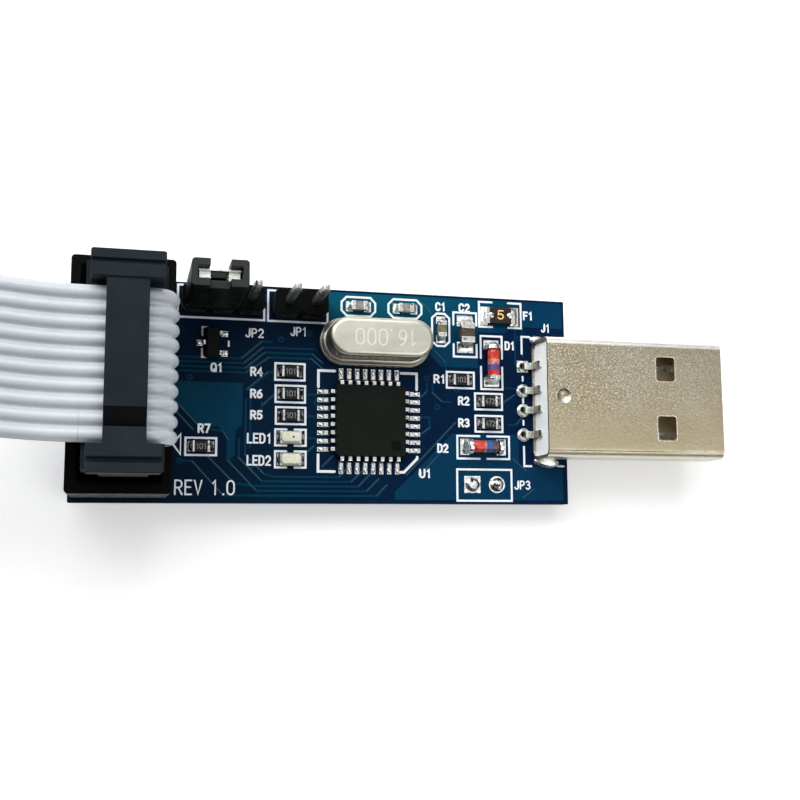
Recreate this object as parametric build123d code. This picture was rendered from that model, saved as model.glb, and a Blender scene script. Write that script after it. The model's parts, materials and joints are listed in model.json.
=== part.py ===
from build123d import *
import os
from math import cos, radians, sin, tan

# A USB in-system programmer for microcontrollers: a small board with a USB plug at its +X end, a
# box header at its -X end, a ribbon cable plugged into that header, and the cable's far socket.
# +X points out of the USB plug, +Z out of the component side, and z = 0 is the table that the
# solder joints and pin tips under the board stand on. All sizes are in millimetres.

# ------------------------------------------------------------------ board
BOARD_LENGTH, BOARD_WIDTH, BOARD_THICKNESS = 48.7, 20.95, 1.6
BOARD_LEFT = -32.0
STAND = 1.4  # pin tips and solder joints below the board
TOP = STAND + BOARD_THICKNESS  # the component side

# ------------------------------------------------------------------ pins and headers
PITCH = 2.54
PIN = 0.64  # square pins
PIN_HOLE = 1.0
HEADER_X, HEADER_Y = -27.5, 0.1
HEADER_WIDTH, HEADER_LENGTH, HEADER_HEIGHT = 8.76, 20.3, 9.1
HEADER_WALL, HEADER_FLOOR = 1.1, 2.4
HEADER_PIN_TOP = 8.5  # above the board
KEY_WIDTH = 4.5
JUMPER_PIN_TOP = 8.6
JUMPER_BASE_WIDTH, JUMPER_BASE_HEIGHT = 2.5, 2.54
JP1_X, JP1_Y = -11.05, 8.6  # two pins
JP2_X, JP2_Y = -18.4, 8.7  # three pins

# ------------------------------------------------------------------ USB plug
USB_FRONT, USB_BACK = 32.0, 13.0
USB_WIDTH, USB_HEIGHT, USB_SHEET = 12.0, 4.5, 0.3
USB_FOLD = 0.9  # outer radius of the shell's long edges
USB_WINDOW_X, USB_WINDOW_Y = 25.7, 3.0
CONTACT_Y = (3.5, 1.0, -1.0, -3.5)
CONTACT_SHEET, CONTACT_WIDTH = 0.25, 0.7
CONTACT_TAIL_X = 12.1

# ------------------------------------------------------------------ chips, crystal, small parts
MCU_X, MCU_Y = -3.98, -2.48
MCU_SIZE, MCU_PITCH, MCU_LEADS_A_SIDE = 7.0, 0.8, 8
CRYSTAL_X, CRYSTAL_Y = -3.45, 5.25
CRYSTAL_LEAD_OFFSET = 2.44
JP3_PADS = ((6.52, -8.54), (9.09, -8.54))

# length, width and height of the chip part sizes, and how far the end metal reaches in
CHIP_0603 = (1.65, 0.85, 0.8, 0.46)
CHIP_RESISTOR = (1.7, 1.02, 0.5, 0.27)
CHIP_0805_TALL = (2.05, 1.35, 1.2, 0.62)
CHIP_1206 = (3.2, 1.6, 0.6, 0.45)
RESISTORS = {
    "r1": (5.4, 1.9, CHIP_RESISTOR),
    "r2": (8.35, -0.2, CHIP_RESISTOR),
    "r3": (8.35, -2.45, CHIP_RESISTOR),
    "r4": (-11.8, 2.15, CHIP_RESISTOR),
    "r5": (-11.7, -2.1, CHIP_RESISTOR),
    "r6": (-11.75, 0.0, CHIP_RESISTOR),
    "r7": (-20.15, -5.2, CHIP_RESISTOR),
}
CAPACITORS = {
    "c1": (3.4, 6.95, 90, CHIP_0603),
    "c2": (5.95, 6.6, 90, CHIP_0805_TALL),
    "c3": (-5.05, 8.9, 0, CHIP_0603),
    "c4": (-0.3, 8.9, 0, CHIP_0603),
}
DIODES = ((8.7, 3.7, 90), (7.7, -4.8, 0))
DIODE_LENGTH, DIODE_RADIUS, DIODE_CAP = 3.6, 0.75, 0.45
FUSE_X, FUSE_Y = 9.6, 8.6
LEDS = {"led1": (-11.7, -4.2), "led2": (-11.7, -6.3)}
TRANSISTOR_X, TRANSISTOR_Y = -19.25, 4.65

# ------------------------------------------------------------------ ribbon cable and its sockets
WIRES, WIRE_PITCH = 10, 1.27
RIBBON_WIDTH, RIBBON_THICKNESS = WIRES * WIRE_PITCH, 0.9
SOCKET_WIDTH, SOCKET_LENGTH = 6.0, 17.0
SOCKET_BODY, SOCKET_COVER = 7.7, 2.6  # heights
SOCKET_X, SOCKET_Z = HEADER_X, TOP + HEADER_FLOOR + 0.1  # middle and height of the mating face
FOLD_RADIUS = 1.8  # the ribbon's middle, where it turns round the cover
FOLD_X = 2.35  # middle of that turn, from the middle of the socket
RIBBON_LOW = SOCKET_BODY + RIBBON_THICKNESS / 2
RIBBON_HIGH = RIBBON_LOW + 2 * FOLD_RADIUS
EXIT_X = -3.15  # where the ribbon leaves the socket, from its middle
RELIEF_BOTTOM = RIBBON_HIGH + RIBBON_THICKNESS / 2 + 0.05
RELIEF_THICKNESS, RELIEF_LENGTH, RELIEF_SHIFT = 1.4, 17.64, 0.38
RELIEF_BAR, RELIEF_HEAD = 3.36, 5.9  # widths
RELIEF_EXTRA = 0.22  # how much further its +Y end reaches

# The cable runs level out of the socket, comes down to the table as it turns on its edge, and is
# put away in one round turn on edge, with its far socket standing inside the turn.
TIE_SHEET = 0.5
EDGE_Z = TIE_SHEET + RIBBON_WIDTH / 2  # the ribbon's middle where it stands on its edge
LEAD = [
    (SOCKET_X + EXIT_X, HEADER_Y, SOCKET_Z + RIBBON_HIGH),
    (-42.0, HEADER_Y, 17.2),
    (-56.0, HEADER_Y, 14.3),
    (-70.0, HEADER_Y, 9.6),
    (-81.0, HEADER_Y, EDGE_Z + 0.3),
    (-90.0, HEADER_Y, EDGE_Z),
]
TWIST_FROM, TWIST_TO = -35.0, -88.0  # x where the quarter turn starts and ends
COIL_RADIUS, COIL_STEP = 31.0, 1.3
COIL_X, COIL_Y = LEAD[-1][0], HEADER_Y + COIL_RADIUS
TAIL_RADIUS, TAIL_SWEEP = 25.5, 101.0  # the last stretch, inside the turn
TAIL_Z = RELIEF_LENGTH / 2 + RELIEF_EXTRA  # there the far socket stands on its end and holds the ribbon up

os.makedirs("parts", exist_ok=True)
NODES = {}


def node(name, *solids):
    """Keeps one node: a single solid, or a group of separate ones."""
    NODES[name] = solids[0] if len(solids) == 1 else Compound(children=list(solids))


def block(x, y, z):
    """A box between two planes on each axis."""
    size = (x[1] - x[0], y[1] - y[0], z[1] - z[0])
    return Pos((x[0] + x[1]) / 2, (y[0] + y[1]) / 2, (z[0] + z[1]) / 2) * Box(*size)


def upright(radius, x, y, z):
    """A cylinder along Z from z[0] to z[1]."""
    return Pos(x, y, (z[0] + z[1]) / 2) * Cylinder(radius, z[1] - z[0])


def square_pin(x, y, bottom, top):
    """A square pin with both ends chamfered."""
    pin = Pos(x, y, (bottom + top) / 2) * Box(PIN, PIN, top - bottom)
    ends = pin.faces().sort_by(Axis.Z)
    return chamfer(ends[0].edges() + ends[-1].edges(), 0.15)


def bent_strip(points, thickness, width, radius):
    """Sheet metal bent in the XZ plane, centred on y = 0."""
    line = FilletPolyline(*points, radius=radius)
    outline = trace(line, line_width=thickness)
    return extrude(Plane.XZ * outline, width / 2, both=True)


def obround(length, width, z, x=0.0, y=0.0):
    """A plate with half-round ends, from z[0] to z[1]."""
    return extrude(Pos(x, y, z[0]) * SlotOverall(length, width), z[1] - z[0])


def row_of(count, pitch):
    """Offsets of evenly spaced places about zero."""
    return [(i - (count - 1) / 2) * pitch for i in range(count)]


# ------------------------------------------------------------------ where things go through the board
header_pins = [(HEADER_X + s * PITCH / 2, HEADER_Y + y) for s in (-1, 1) for y in row_of(5, PITCH)]
jumper_pins = [(JP2_X + x, JP2_Y) for x in row_of(3, PITCH)] + [(JP1_X + x, JP1_Y) for x in row_of(2, PITCH)]
crystal_pins = [(CRYSTAL_X + s * CRYSTAL_LEAD_OFFSET, CRYSTAL_Y) for s in (-1, 1)]
LEG_X, LEG_Y, LEG_LENGTH = 14.3, USB_WIDTH / 2 - USB_SHEET / 2, 2.0
usb_legs = [(LEG_X, s * LEG_Y) for s in (-1, 1)]


def circuit_board():
    """The bare board, with a drilled hole for everything that goes through it."""
    board = block(
        (BOARD_LEFT, BOARD_LEFT + BOARD_LENGTH),
        (-BOARD_WIDTH / 2, BOARD_WIDTH / 2),
        (STAND, TOP),
    )
    board = fillet(board.edges().filter_by(Axis.Z), 0.12)
    through = (STAND - 1, TOP + 1)
    for x, y in header_pins + jumper_pins + list(JP3_PADS):
        board -= upright(PIN_HOLE / 2, x, y, through)
    for x, y in crystal_pins:
        board -= upright(0.4, x, y, through)
    for y in CONTACT_Y:
        board -= upright(0.5, CONTACT_TAIL_X, y, through)
    for x, y in usb_legs:
        board -= obround(LEG_LENGTH + 0.5, 0.9, through, x, y)
    return board


def solder_joints():
    """One cone of solder under each pin, two filled pads, and the joints of the plug's legs."""
    joints = []
    for x, y in header_pins + jumper_pins:
        cone = Pos(x, y, STAND - 0.45) * Cone(0.42, 0.85, 0.9)
        joints.append(cone - Pos(x, y, STAND) * Box(PIN, PIN, 4))
    for x, y in crystal_pins:
        cone = Pos(x, y, STAND - 0.35) * Cone(0.32, 0.7, 0.7)
        joints.append(cone - upright(CRYSTAL_LEAD, x, y, (0, TOP)))
    for y in CONTACT_Y:
        cone = Pos(CONTACT_TAIL_X, y, STAND - 0.4) * Cone(0.45, 0.8, 0.8)
        joints.append(cone - Pos(CONTACT_TAIL_X, y, STAND) * Box(CONTACT_SHEET, CONTACT_WIDTH, 4))
    for x, y in usb_legs:
        mound = obround(LEG_LENGTH + 1.0, 1.6, (STAND - 0.7, STAND), x, y)
        mound = chamfer(mound.edges().group_by(Axis.Z)[0], 0.45)
        joints.append(mound - Pos(x, y, STAND) * Box(LEG_LENGTH, USB_SHEET, 4))
    for x, y in JP3_PADS:
        plug = upright(PIN_HOLE / 2, x, y, (STAND, TOP))
        plug += Pos(x, y, TOP + 0.15) * Cone(0.75, 0.4, 0.3)
        plug += Pos(x, y, STAND - 0.2) * Cone(0.4, 0.75, 0.4)
        joints.append(plug)
    return joints


# ------------------------------------------------------------------ microcontroller
def mcu_body():
    """A moulded square with chamfered corners, its faces drawn in above and below the leads."""
    outline = chamfer(Rectangle(MCU_SIZE, MCU_SIZE).vertices(), 0.2)
    body = extrude(Pos(0, 0, 0.45) * outline, 0.3)
    body += extrude(Pos(0, 0, 0.75) * outline, 0.35, taper=12)
    body += extrude(Pos(0, 0, 0.45) * outline, -0.35, taper=12)
    body -= upright(0.5, 2.45, -2.45, (1.03, 2))
    return Pos(MCU_X, MCU_Y, TOP) * body


def mcu_leads():
    """Gull-wing leads, eight on each of the four sides."""
    sheet = 0.15
    foot = TOP + sheet / 2
    shape = [(MCU_SIZE / 2, TOP + 0.6), (3.9, TOP + 0.6), (4.05, foot), (4.55, foot)]
    lead = bent_strip(shape, sheet, 0.37, 0.1)
    side = [Pos(0, y, 0) * lead for y in row_of(MCU_LEADS_A_SIDE, MCU_PITCH)]
    return [Pos(MCU_X, MCU_Y, 0) * Rot(0, 0, a) * one for a in (0, 90, 180, 270) for one in side]


# ------------------------------------------------------------------ crystal
CRYSTAL_LEAD = 0.22
FLANGE = (TOP + 0.25, TOP + 0.75)
CAN_TOP = TOP + 3.9


def crystal():
    flange = obround(11.2, 4.7, FLANGE, CRYSTAL_X, CRYSTAL_Y)
    flange = chamfer(flange.faces().sort_by(Axis.Z)[-1].edges(), 0.12)
    can = obround(10.2, 3.75, (FLANGE[1], CAN_TOP), CRYSTAL_X, CRYSTAL_Y)
    can = fillet(can.faces().sort_by(Axis.Z)[-1].edges(), 0.45)
    can -= obround(9.7, 3.25, (FLANGE[1], CAN_TOP - 0.3), CRYSTAL_X, CRYSTAL_Y)
    leads, seals = [], []
    for x, y in crystal_pins:
        flange -= upright(0.6, x, y, (TOP, CAN_TOP))
        leads.append(upright(CRYSTAL_LEAD, x, y, (0.3, FLANGE[1] + 0.7)))
        seals.append(upright(0.6, x, y, FLANGE) - upright(CRYSTAL_LEAD, x, y, (TOP, CAN_TOP)))
    rest = FLANGE[1] + 0.7
    blank = block(
        (CRYSTAL_X - 3.6, CRYSTAL_X + 3.6), (CRYSTAL_Y - 1.0, CRYSTAL_Y + 1.0), (rest, rest + 0.25)
    )
    node("crystal_base", flange)
    node("crystal_can", can)
    node("crystal_leads", *leads)
    node("crystal_glass_seals", *seals)
    node("quartz_blank", blank)


# ------------------------------------------------------------------ USB plug
def usb_shell():
    """A folded steel tube with two latch windows above and two below, and two legs."""
    middle = TOP + USB_HEIGHT / 2
    face = Plane(origin=(USB_BACK, 0, middle), x_dir=(0, 1, 0), z_dir=(1, 0, 0))
    length = USB_FRONT - USB_BACK
    tube = extrude(face * RectangleRounded(USB_WIDTH, USB_HEIGHT, USB_FOLD), length)
    inner = (USB_WIDTH - 2 * USB_SHEET, USB_HEIGHT - 2 * USB_SHEET)
    tube -= extrude(face * RectangleRounded(*inner, USB_FOLD - USB_SHEET), length)
    for s in (-1, 1):
        window = extrude(RectangleRounded(2.05, 2.45, 0.28), USB_HEIGHT, both=True)
        tube -= Pos(USB_WINDOW_X, s * USB_WINDOW_Y, middle) * window
    tube -= Pos(USB_BACK + 1.65, 0, TOP + USB_HEIGHT + 1.0) * Sphere(1.24)
    for x, y in usb_legs:
        leg = block(
            (x - LEG_LENGTH / 2, x + LEG_LENGTH / 2), (y - USB_SHEET / 2, y + USB_SHEET / 2), (0, TOP + 1.2)
        )
        tube += chamfer(leg.faces().sort_by(Axis.Z)[0].edges().filter_by(Axis.Y), 0.5)
    return tube


def usb_contacts():
    """Four contacts: a blade on the tongue, and a tail that steps down to the board."""
    blade, step = TOP + 2.1, TOP + 0.45
    back = USB_BACK + 0.08
    contacts = []
    for i, y in enumerate(CONTACT_Y):
        nose = USB_FRONT - (1.4 if i in (0, 3) else 2.4)
        path = [(nose, blade), (back, blade), (back, step), (CONTACT_TAIL_X, step), (CONTACT_TAIL_X, 0.4)]
        contacts.append(Pos(0, y, 0) * bent_strip(path, CONTACT_SHEET, CONTACT_WIDTH, 0.2))
    return contacts


def usb_insulator(contacts):
    """The moulding that fills the back of the shell and reaches forward as the tongue."""
    low, high = TOP + USB_SHEET + 0.02, TOP + USB_HEIGHT - USB_SHEET - 0.02
    half = USB_WIDTH / 2 - USB_SHEET - 0.02
    back = block((13.25, 19.0), (-half, half), (low, high))
    back = fillet(back.edges().filter_by(Axis.X), USB_FOLD - USB_SHEET)
    tongue = block((19.0, USB_FRONT - 0.6), (0.15 - half, half - 0.15), (low, low + 1.9))
    tongue = fillet(tongue.edges().filter_by(Axis.X).sort_by(Axis.Z)[:2], USB_FOLD - USB_SHEET)
    body = back + chamfer(tongue.faces().sort_by(Axis.X)[-1].edges(), 0.2)
    for contact in contacts:
        body -= contact
    return body


# ------------------------------------------------------------------ box header and jumper headers
def header_housing():
    """The shroud round the ten pins, open at the top, with a key slot in its outer wall."""
    half_w, half_l = HEADER_WIDTH / 2, HEADER_LENGTH / 2
    body = Pos(0, 0, HEADER_HEIGHT / 2) * Box(HEADER_WIDTH, HEADER_LENGTH, HEADER_HEIGHT)
    body = fillet(body.edges().filter_by(Axis.Z), 0.35)
    wall = HEADER_WALL
    body -= block((wall - half_w, half_w - wall), (wall - half_l, half_l - wall), (HEADER_FLOOR, 20))
    body = chamfer(body.faces().sort_by(Axis.Z)[-1].inner_wires()[0].edges(), 0.25)
    body -= block((-half_w - 1, 0), (-KEY_WIDTH / 2, KEY_WIDTH / 2), (HEADER_FLOOR, 20))
    body = Pos(HEADER_X, HEADER_Y, TOP) * body
    for x, y in header_pins:
        body -= Pos(x, y, TOP) * Box(PIN, PIN, 10)
    return body


def jumper_base(x, y, pins):
    """The strip of moulding that carries a row of jumper pins, notched between them."""
    size = (pins * PITCH, JUMPER_BASE_WIDTH, JUMPER_BASE_HEIGHT)
    base = Pos(x, y, TOP + JUMPER_BASE_HEIGHT / 2) * Box(*size)
    notch = Rot(0, 0, 45) * Box(0.5, 0.5, 10)
    for i in range(pins + 1):
        for s in (-1, 1):
            base -= Pos(x + (i - pins / 2) * PITCH, y + s * JUMPER_BASE_WIDTH / 2, TOP) * notch
    for offset in row_of(pins, PITCH):
        base -= Pos(x + offset, y, TOP) * Box(PIN, PIN, 10)
    return base


# ------------------------------------------------------------------ jumper shunt
SHUNT_X, SHUNT_Y = JP2_X - PITCH / 2 + 0.16, JP2_Y
SHUNT_WIDTH, SHUNT_DEPTH, SHUNT_HEIGHT = 4.9, 2.45, 9.1
SHUNT_GAP = 1.74  # between the two ears
SHUNT_Z = TOP + JUMPER_BASE_HEIGHT + 0.02


def shunt_housing():
    """A cap over two pins, open above, with a gap in its back between the two ears."""
    body = Pos(0, 0, SHUNT_HEIGHT / 2) * Box(SHUNT_WIDTH, SHUNT_DEPTH, SHUNT_HEIGHT)
    body = fillet(body.edges().filter_by(Axis.Z), 0.3)
    body -= block((-1.9, 1.9), (-0.5, 0.55), (-1, 20))
    gap = (-SHUNT_GAP / 2, SHUNT_GAP / 2)
    body -= block(gap, (0, 3), (4.6, 20))
    body -= block(gap, (-3, 0), (SHUNT_HEIGHT - 0.9, 20))
    body = chamfer(body.faces().sort_by(Axis.Z)[0].outer_wire().edges(), 0.2)
    return Pos(SHUNT_X, SHUNT_Y, SHUNT_Z) * body


def shunt_clip():
    """Sprung metal: two leaves beside each pin, a flap over each, and a strip that joins them."""
    gap = PIN / 2 + 0.03
    low, high = SHUNT_HEIGHT - 1.35, SHUNT_HEIGHT - 1.15
    clip = block((-1.85, 1.85), (0.3, 0.5), (low, high + 0.35))
    for x in (-PITCH / 2, PITCH / 2):
        clip += block((x - 0.5, x + 0.5), (-gap - 0.15, 0.5), (low, high))
        for s in (-1, 1):
            y = sorted((s * gap, s * (gap + 0.15)))
            clip += block((x - 0.5, x + 0.5), y, (1.0, high))
    return Pos(SHUNT_X, SHUNT_Y, SHUNT_Z) * clip


# ------------------------------------------------------------------ chip parts
def placed(x, y, turn, *solids):
    return [Pos(x, y, TOP) * Rot(0, 0, turn) * one for one in solids]


def chip_part(x, y, turn, size):
    """The ceramic body of a chip part, and its two metal ends."""
    length, width, height, reach = size
    half = length / 2
    body = block((reach - half, half - reach), (-width / 2, width / 2), (0.02, height - 0.02))
    ends = []
    for s in (-1, 1):
        x_range = sorted((s * (half - reach), s * half))
        end = block(x_range, (-width / 2 - 0.02, width / 2 + 0.02), (0, height))
        ends.append(chamfer(end.faces().sort_by(Axis.X)[0 if s < 0 else -1].edges(), 0.06))
    return placed(x, y, turn, body, *ends)


def diode(x, y, turn):
    """A round glass diode lying on the board between two metal caps."""
    half = DIODE_LENGTH / 2
    lying = Pos(0, 0, DIODE_RADIUS) * Rot(0, 90, 0)
    glass = lying * Cylinder(DIODE_RADIUS - 0.05, DIODE_LENGTH - 2 * DIODE_CAP)
    caps = []
    for s in (-1, 1):
        cap = lying * Pos(0, 0, s * (half - DIODE_CAP / 2)) * Cylinder(DIODE_RADIUS, DIODE_CAP)
        caps.append(fillet(cap.faces().sort_by(Axis.X)[0 if s < 0 else -1].edges(), 0.12))
    return placed(x, y, turn, glass, *caps)


def led(x, y):
    """A chip LED: base, clear lens and two terminals."""
    base = block((-0.75, 0.75), (-0.6, 0.6), (0.02, 0.38))
    lens = block((-0.95, 0.95), (-0.47, 0.47), (0.38, 0.85))
    lens = fillet(lens.edges().filter_by(Axis.Z), 0.3)
    lens = chamfer(lens.faces().sort_by(Axis.Z)[-1].edges(), 0.08)
    ends = [block(sorted((s * 0.75, s * 1.05)), (-0.6, 0.6), (0, 0.38)) for s in (-1, 1)]
    return placed(x, y, 0, base, lens, *ends)


def transistor():
    """A three-lead transistor: one lead on its -X side, two on its +X side."""
    body = block((-0.65, 0.65), (-1.45, 1.45), (0.1, 1.05))
    body = chamfer(body.faces().sort_by(Axis.Z)[-1].edges(), 0.25, 0.1)
    lead = bent_strip([(0.65, 0.5), (0.9, 0.5), (1.0, 0.07), (1.3, 0.07)], 0.12, 0.42, 0.08)
    leads = [Pos(0, 0.95, 0) * lead, Pos(0, -0.95, 0) * lead, Rot(0, 0, 180) * lead]
    solids = placed(TRANSISTOR_X, TRANSISTOR_Y, 0, body, *leads)
    node("transistor_body", solids[0])
    node("transistor_leads", *solids[1:])


# ------------------------------------------------------------------ ribbon socket
# The socket is drawn with its mating face at z = 0, looking down, and the ribbon leaving along -X.
CONTACT_CAVITY = 6.8
socket_places = [(s * PITCH / 2, y) for s in (-1, 1) for y in row_of(5, PITCH)]


def socket_body():
    body = Pos(0, 0, SOCKET_BODY / 2) * Box(SOCKET_WIDTH, SOCKET_LENGTH, SOCKET_BODY)
    body = fillet(body.edges().filter_by(Axis.Z), 0.3)
    body = chamfer(body.faces().sort_by(Axis.Z)[0].edges(), 0.25)
    body += block((-SOCKET_WIDTH / 2 - 0.9, -1), (-1.9, 1.9), (0.4, 6.4))
    for x, y in socket_places:
        body -= Pos(x, y, CONTACT_CAVITY / 2) * Box(1.7, 1.0, CONTACT_CAVITY)
        body -= Pos(x, y, SOCKET_BODY) * Box(0.3, 0.75, 2.5)
    return body


def socket_contacts():
    """Ten forked contacts, each with a blade that cuts into its wire."""
    contacts = []
    for x, y in socket_places:
        fork = block((x - 0.66, x + 0.66), (y - 0.4, y + 0.4), (6.3, CONTACT_CAVITY))
        for s in (-1, 1):
            leaf = sorted((x + s * (PIN / 2 + 0.05), x + s * (PIN / 2 + 0.28)))
            fork += block(leaf, (y - 0.4, y + 0.4), (0.9, 6.4))
        contacts.append(fork + block((x - 0.12, x + 0.12), (y - 0.32, y + 0.32), (6.5, 8.2)))
    return contacts


def socket_cover():
    """The bar that presses the ribbon onto the blades; the ribbon turns round its rounded edge."""
    low = RIBBON_LOW + RIBBON_THICKNESS / 2 + 0.05
    high = low + SOCKET_COVER
    nose = SOCKET_COVER / 2
    length = (-SOCKET_LENGTH / 2, SOCKET_LENGTH / 2)
    cover = block((-SOCKET_WIDTH / 2 + 0.05, FOLD_X + nose - 0.05), length, (low, high))
    cover = fillet(cover.faces().sort_by(Axis.X)[-1].edges().filter_by(Axis.Y), nose - 0.02)
    for s in (-1, 1):
        y = sorted((s * (RIBBON_WIDTH / 2 + 0.2), s * (SOCKET_LENGTH / 2)))
        cover += block((-2.4, 2.4), y, (SOCKET_BODY, low + 0.5))
    return cover


def ribbon_fold():
    """The end of the ribbon: flat on the body, round the cover's edge and back over it."""
    line = Polyline((-2.9, RIBBON_LOW), (FOLD_X, RIBBON_LOW))
    line += CenterArc((FOLD_X, RIBBON_LOW + FOLD_RADIUS), FOLD_RADIUS, -90, 180)
    line += Polyline((FOLD_X, RIBBON_HIGH), (EXIT_X, RIBBON_HIGH))
    outline = trace(line, line_width=RIBBON_THICKNESS)
    return extrude(Plane.XZ * outline, RIBBON_WIDTH / 2, both=True)


def strain_relief():
    """The clip over the ribbon: a narrow bar that dips near its -Y end, two wide heads and two arms."""
    top = RELIEF_BOTTOM + RELIEF_THICKNESS
    bar_top = top - 0.15
    inner = RIBBON_WIDTH / 2 + 0.15
    bar, wide = RELIEF_BAR / 2, RELIEF_HEAD / 2
    clip = block((-bar, bar), (-inner - 0.3, inner + 0.3 + RELIEF_EXTRA), (RELIEF_BOTTOM, bar_top))
    start, end, depth = 2.9 - inner, 1.3 - inner, 0.6
    dip = make_face(Polyline((start, bar_top), (end, bar_top - depth), (end, bar_top), (start, bar_top)))
    clip -= extrude(Plane.YZ * dip, bar + 1, both=True)
    cover_top = RIBBON_LOW + RIBBON_THICKNESS / 2 + 0.05 + SOCKET_COVER
    for s, extra in ((-1, 0), (1, RELIEF_EXTRA)):
        half = RELIEF_LENGTH / 2 + extra
        head = block((-wide, wide), sorted((s * (inner + extra), s * half)), (cover_top, top))
        head = fillet(head.edges().filter_by(Axis.Z), 0.2)
        head -= block((-4, 4), sorted((s * (half - 1.22), s * (half - 0.82))), (top - 0.55, top + 1))
        head -= block((-4, 4), sorted((s * (half - 0.92), s * (half + 1))), (top - 0.25, top + 1))
        arm = block((-2.0, 2.0), sorted((s * (SOCKET_LENGTH / 2 + 0.02), s * half)), (7.9, cover_top + 0.2))
        clip += head + arm
    return Pos(RELIEF_SHIFT, 0, 0) * clip


def ribbon_socket(prefix, place):
    """The five nodes of one ribbon socket, put in their place."""
    node(f"{prefix}_body", place * socket_body())
    node(f"{prefix}_contacts", *[place * one for one in socket_contacts()])
    node(f"{prefix}_cover", place * socket_cover())
    node(f"{prefix}_strain_relief", place * strain_relief())
    node(f"{prefix}_ribbon_fold", place * ribbon_fold())


# ------------------------------------------------------------------ free ribbon
def lead_path():
    """Straight runs joined by tangent arcs, each as large as its two runs allow."""
    points = [Vector(*p) for p in LEAD]
    radii = []
    for before, here, after in zip(points, points[1:], points[2:]):
        turn = radians((here - before).get_angle(after - here))
        run = min((here - before).length, (after - here).length)
        radii.append(0.45 * run / tan(turn / 2))
    print("ribbon radii", [round(r, 1) for r in radii])
    return FilletPolyline(*points, radius=radii)


def ribbon_lead():
    """The free ribbon from the socket to the coil, turned from flat onto its edge on the way."""
    path = lead_path()
    stations = 25
    sections = []
    for i in range(stations):
        at, along = path @ (i / (stations - 1)), path % (i / (stations - 1))
        part = min(1.0, max(0.0, (TWIST_FROM - at.X) / (TWIST_FROM - TWIST_TO)))
        turn = radians(90) * part * part * (3 - 2 * part)
        side = Vector(0, 1, 0)
        up = along.cross(side).normalized()
        width_way = side * cos(turn) + up * sin(turn)
        across = Plane(origin=at, x_dir=width_way, z_dir=along)
        sections.append(across * Rectangle(RIBBON_WIDTH, RIBBON_THICKNESS))
    band = loft(sections, ruled=True)
    expected = RIBBON_WIDTH * RIBBON_THICKNESS * path.length
    print("ribbon lead: volume", round(band.volume, 1), "section x length", round(expected, 1))
    return band


def coil_point(radius, degrees):
    """A point on the coil: 0 is where the ribbon comes in, and the ribbon then runs clockwise."""
    a = radians(degrees)
    return Vector(COIL_X - radius * sin(a), COIL_Y - radius * cos(a), 0)


def free_ribbon():
    node("ribbon_lead", ribbon_lead())
    outer, inner = COIL_RADIUS + 0.5, COIL_RADIUS - COIL_STEP - 0.8
    low, high = EDGE_Z - RIBBON_WIDTH / 2, EDGE_Z + RIBBON_WIDTH / 2
    coil = upright(outer, COIL_X, COIL_Y, (low, high)) - upright(inner, COIL_X, COIL_Y, (low - 1, high + 1))
    node("ribbon_coil", coil)

    # the last stretch turns more tightly, about a centre straight above where the first turn ends
    start = COIL_RADIUS - COIL_STEP
    centre = (COIL_X, COIL_Y - start + TAIL_RADIUS)
    skipped = 20.0
    arc = CenterArc(centre, TAIL_RADIUS, -90 - skipped, skipped - TAIL_SWEEP)
    band = trace(arc, line_width=RIBBON_THICKNESS)
    node("ribbon_tail", extrude(Pos(0, 0, TAIL_Z - RIBBON_WIDTH / 2) * band, RIBBON_WIDTH))

    a = radians(TAIL_SWEEP)
    outward = Vector(-sin(a), -cos(a), 0)
    along = Vector(-cos(a), sin(a), 0)
    end = Vector(*centre, TAIL_Z) + outward * TAIL_RADIUS
    origin = end - along * EXIT_X - outward * RIBBON_HIGH
    print("far socket: ribbon end", end, "mating face", origin, "facing", outward * -1)
    ribbon_socket("far_socket", Plane(origin=origin, x_dir=along, z_dir=outward).location)

    at = coil_point(COIL_RADIUS - COIL_STEP / 2, 12)
    turned = Pos(at.X, at.Y, 0) * Rot(0, 0, -12)
    depth = outer - inner + 2 * TIE_SHEET
    tie = turned * Pos(0, 0.1, high / 2 + TIE_SHEET / 2) * Box(2.5, depth, high + TIE_SHEET)
    tie += turned * Pos(0, -depth / 2 - 0.6, high - 2.5) * Box(4.0, 2.2, 3.4)
    node("cable_tie", tie - coil)


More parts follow.
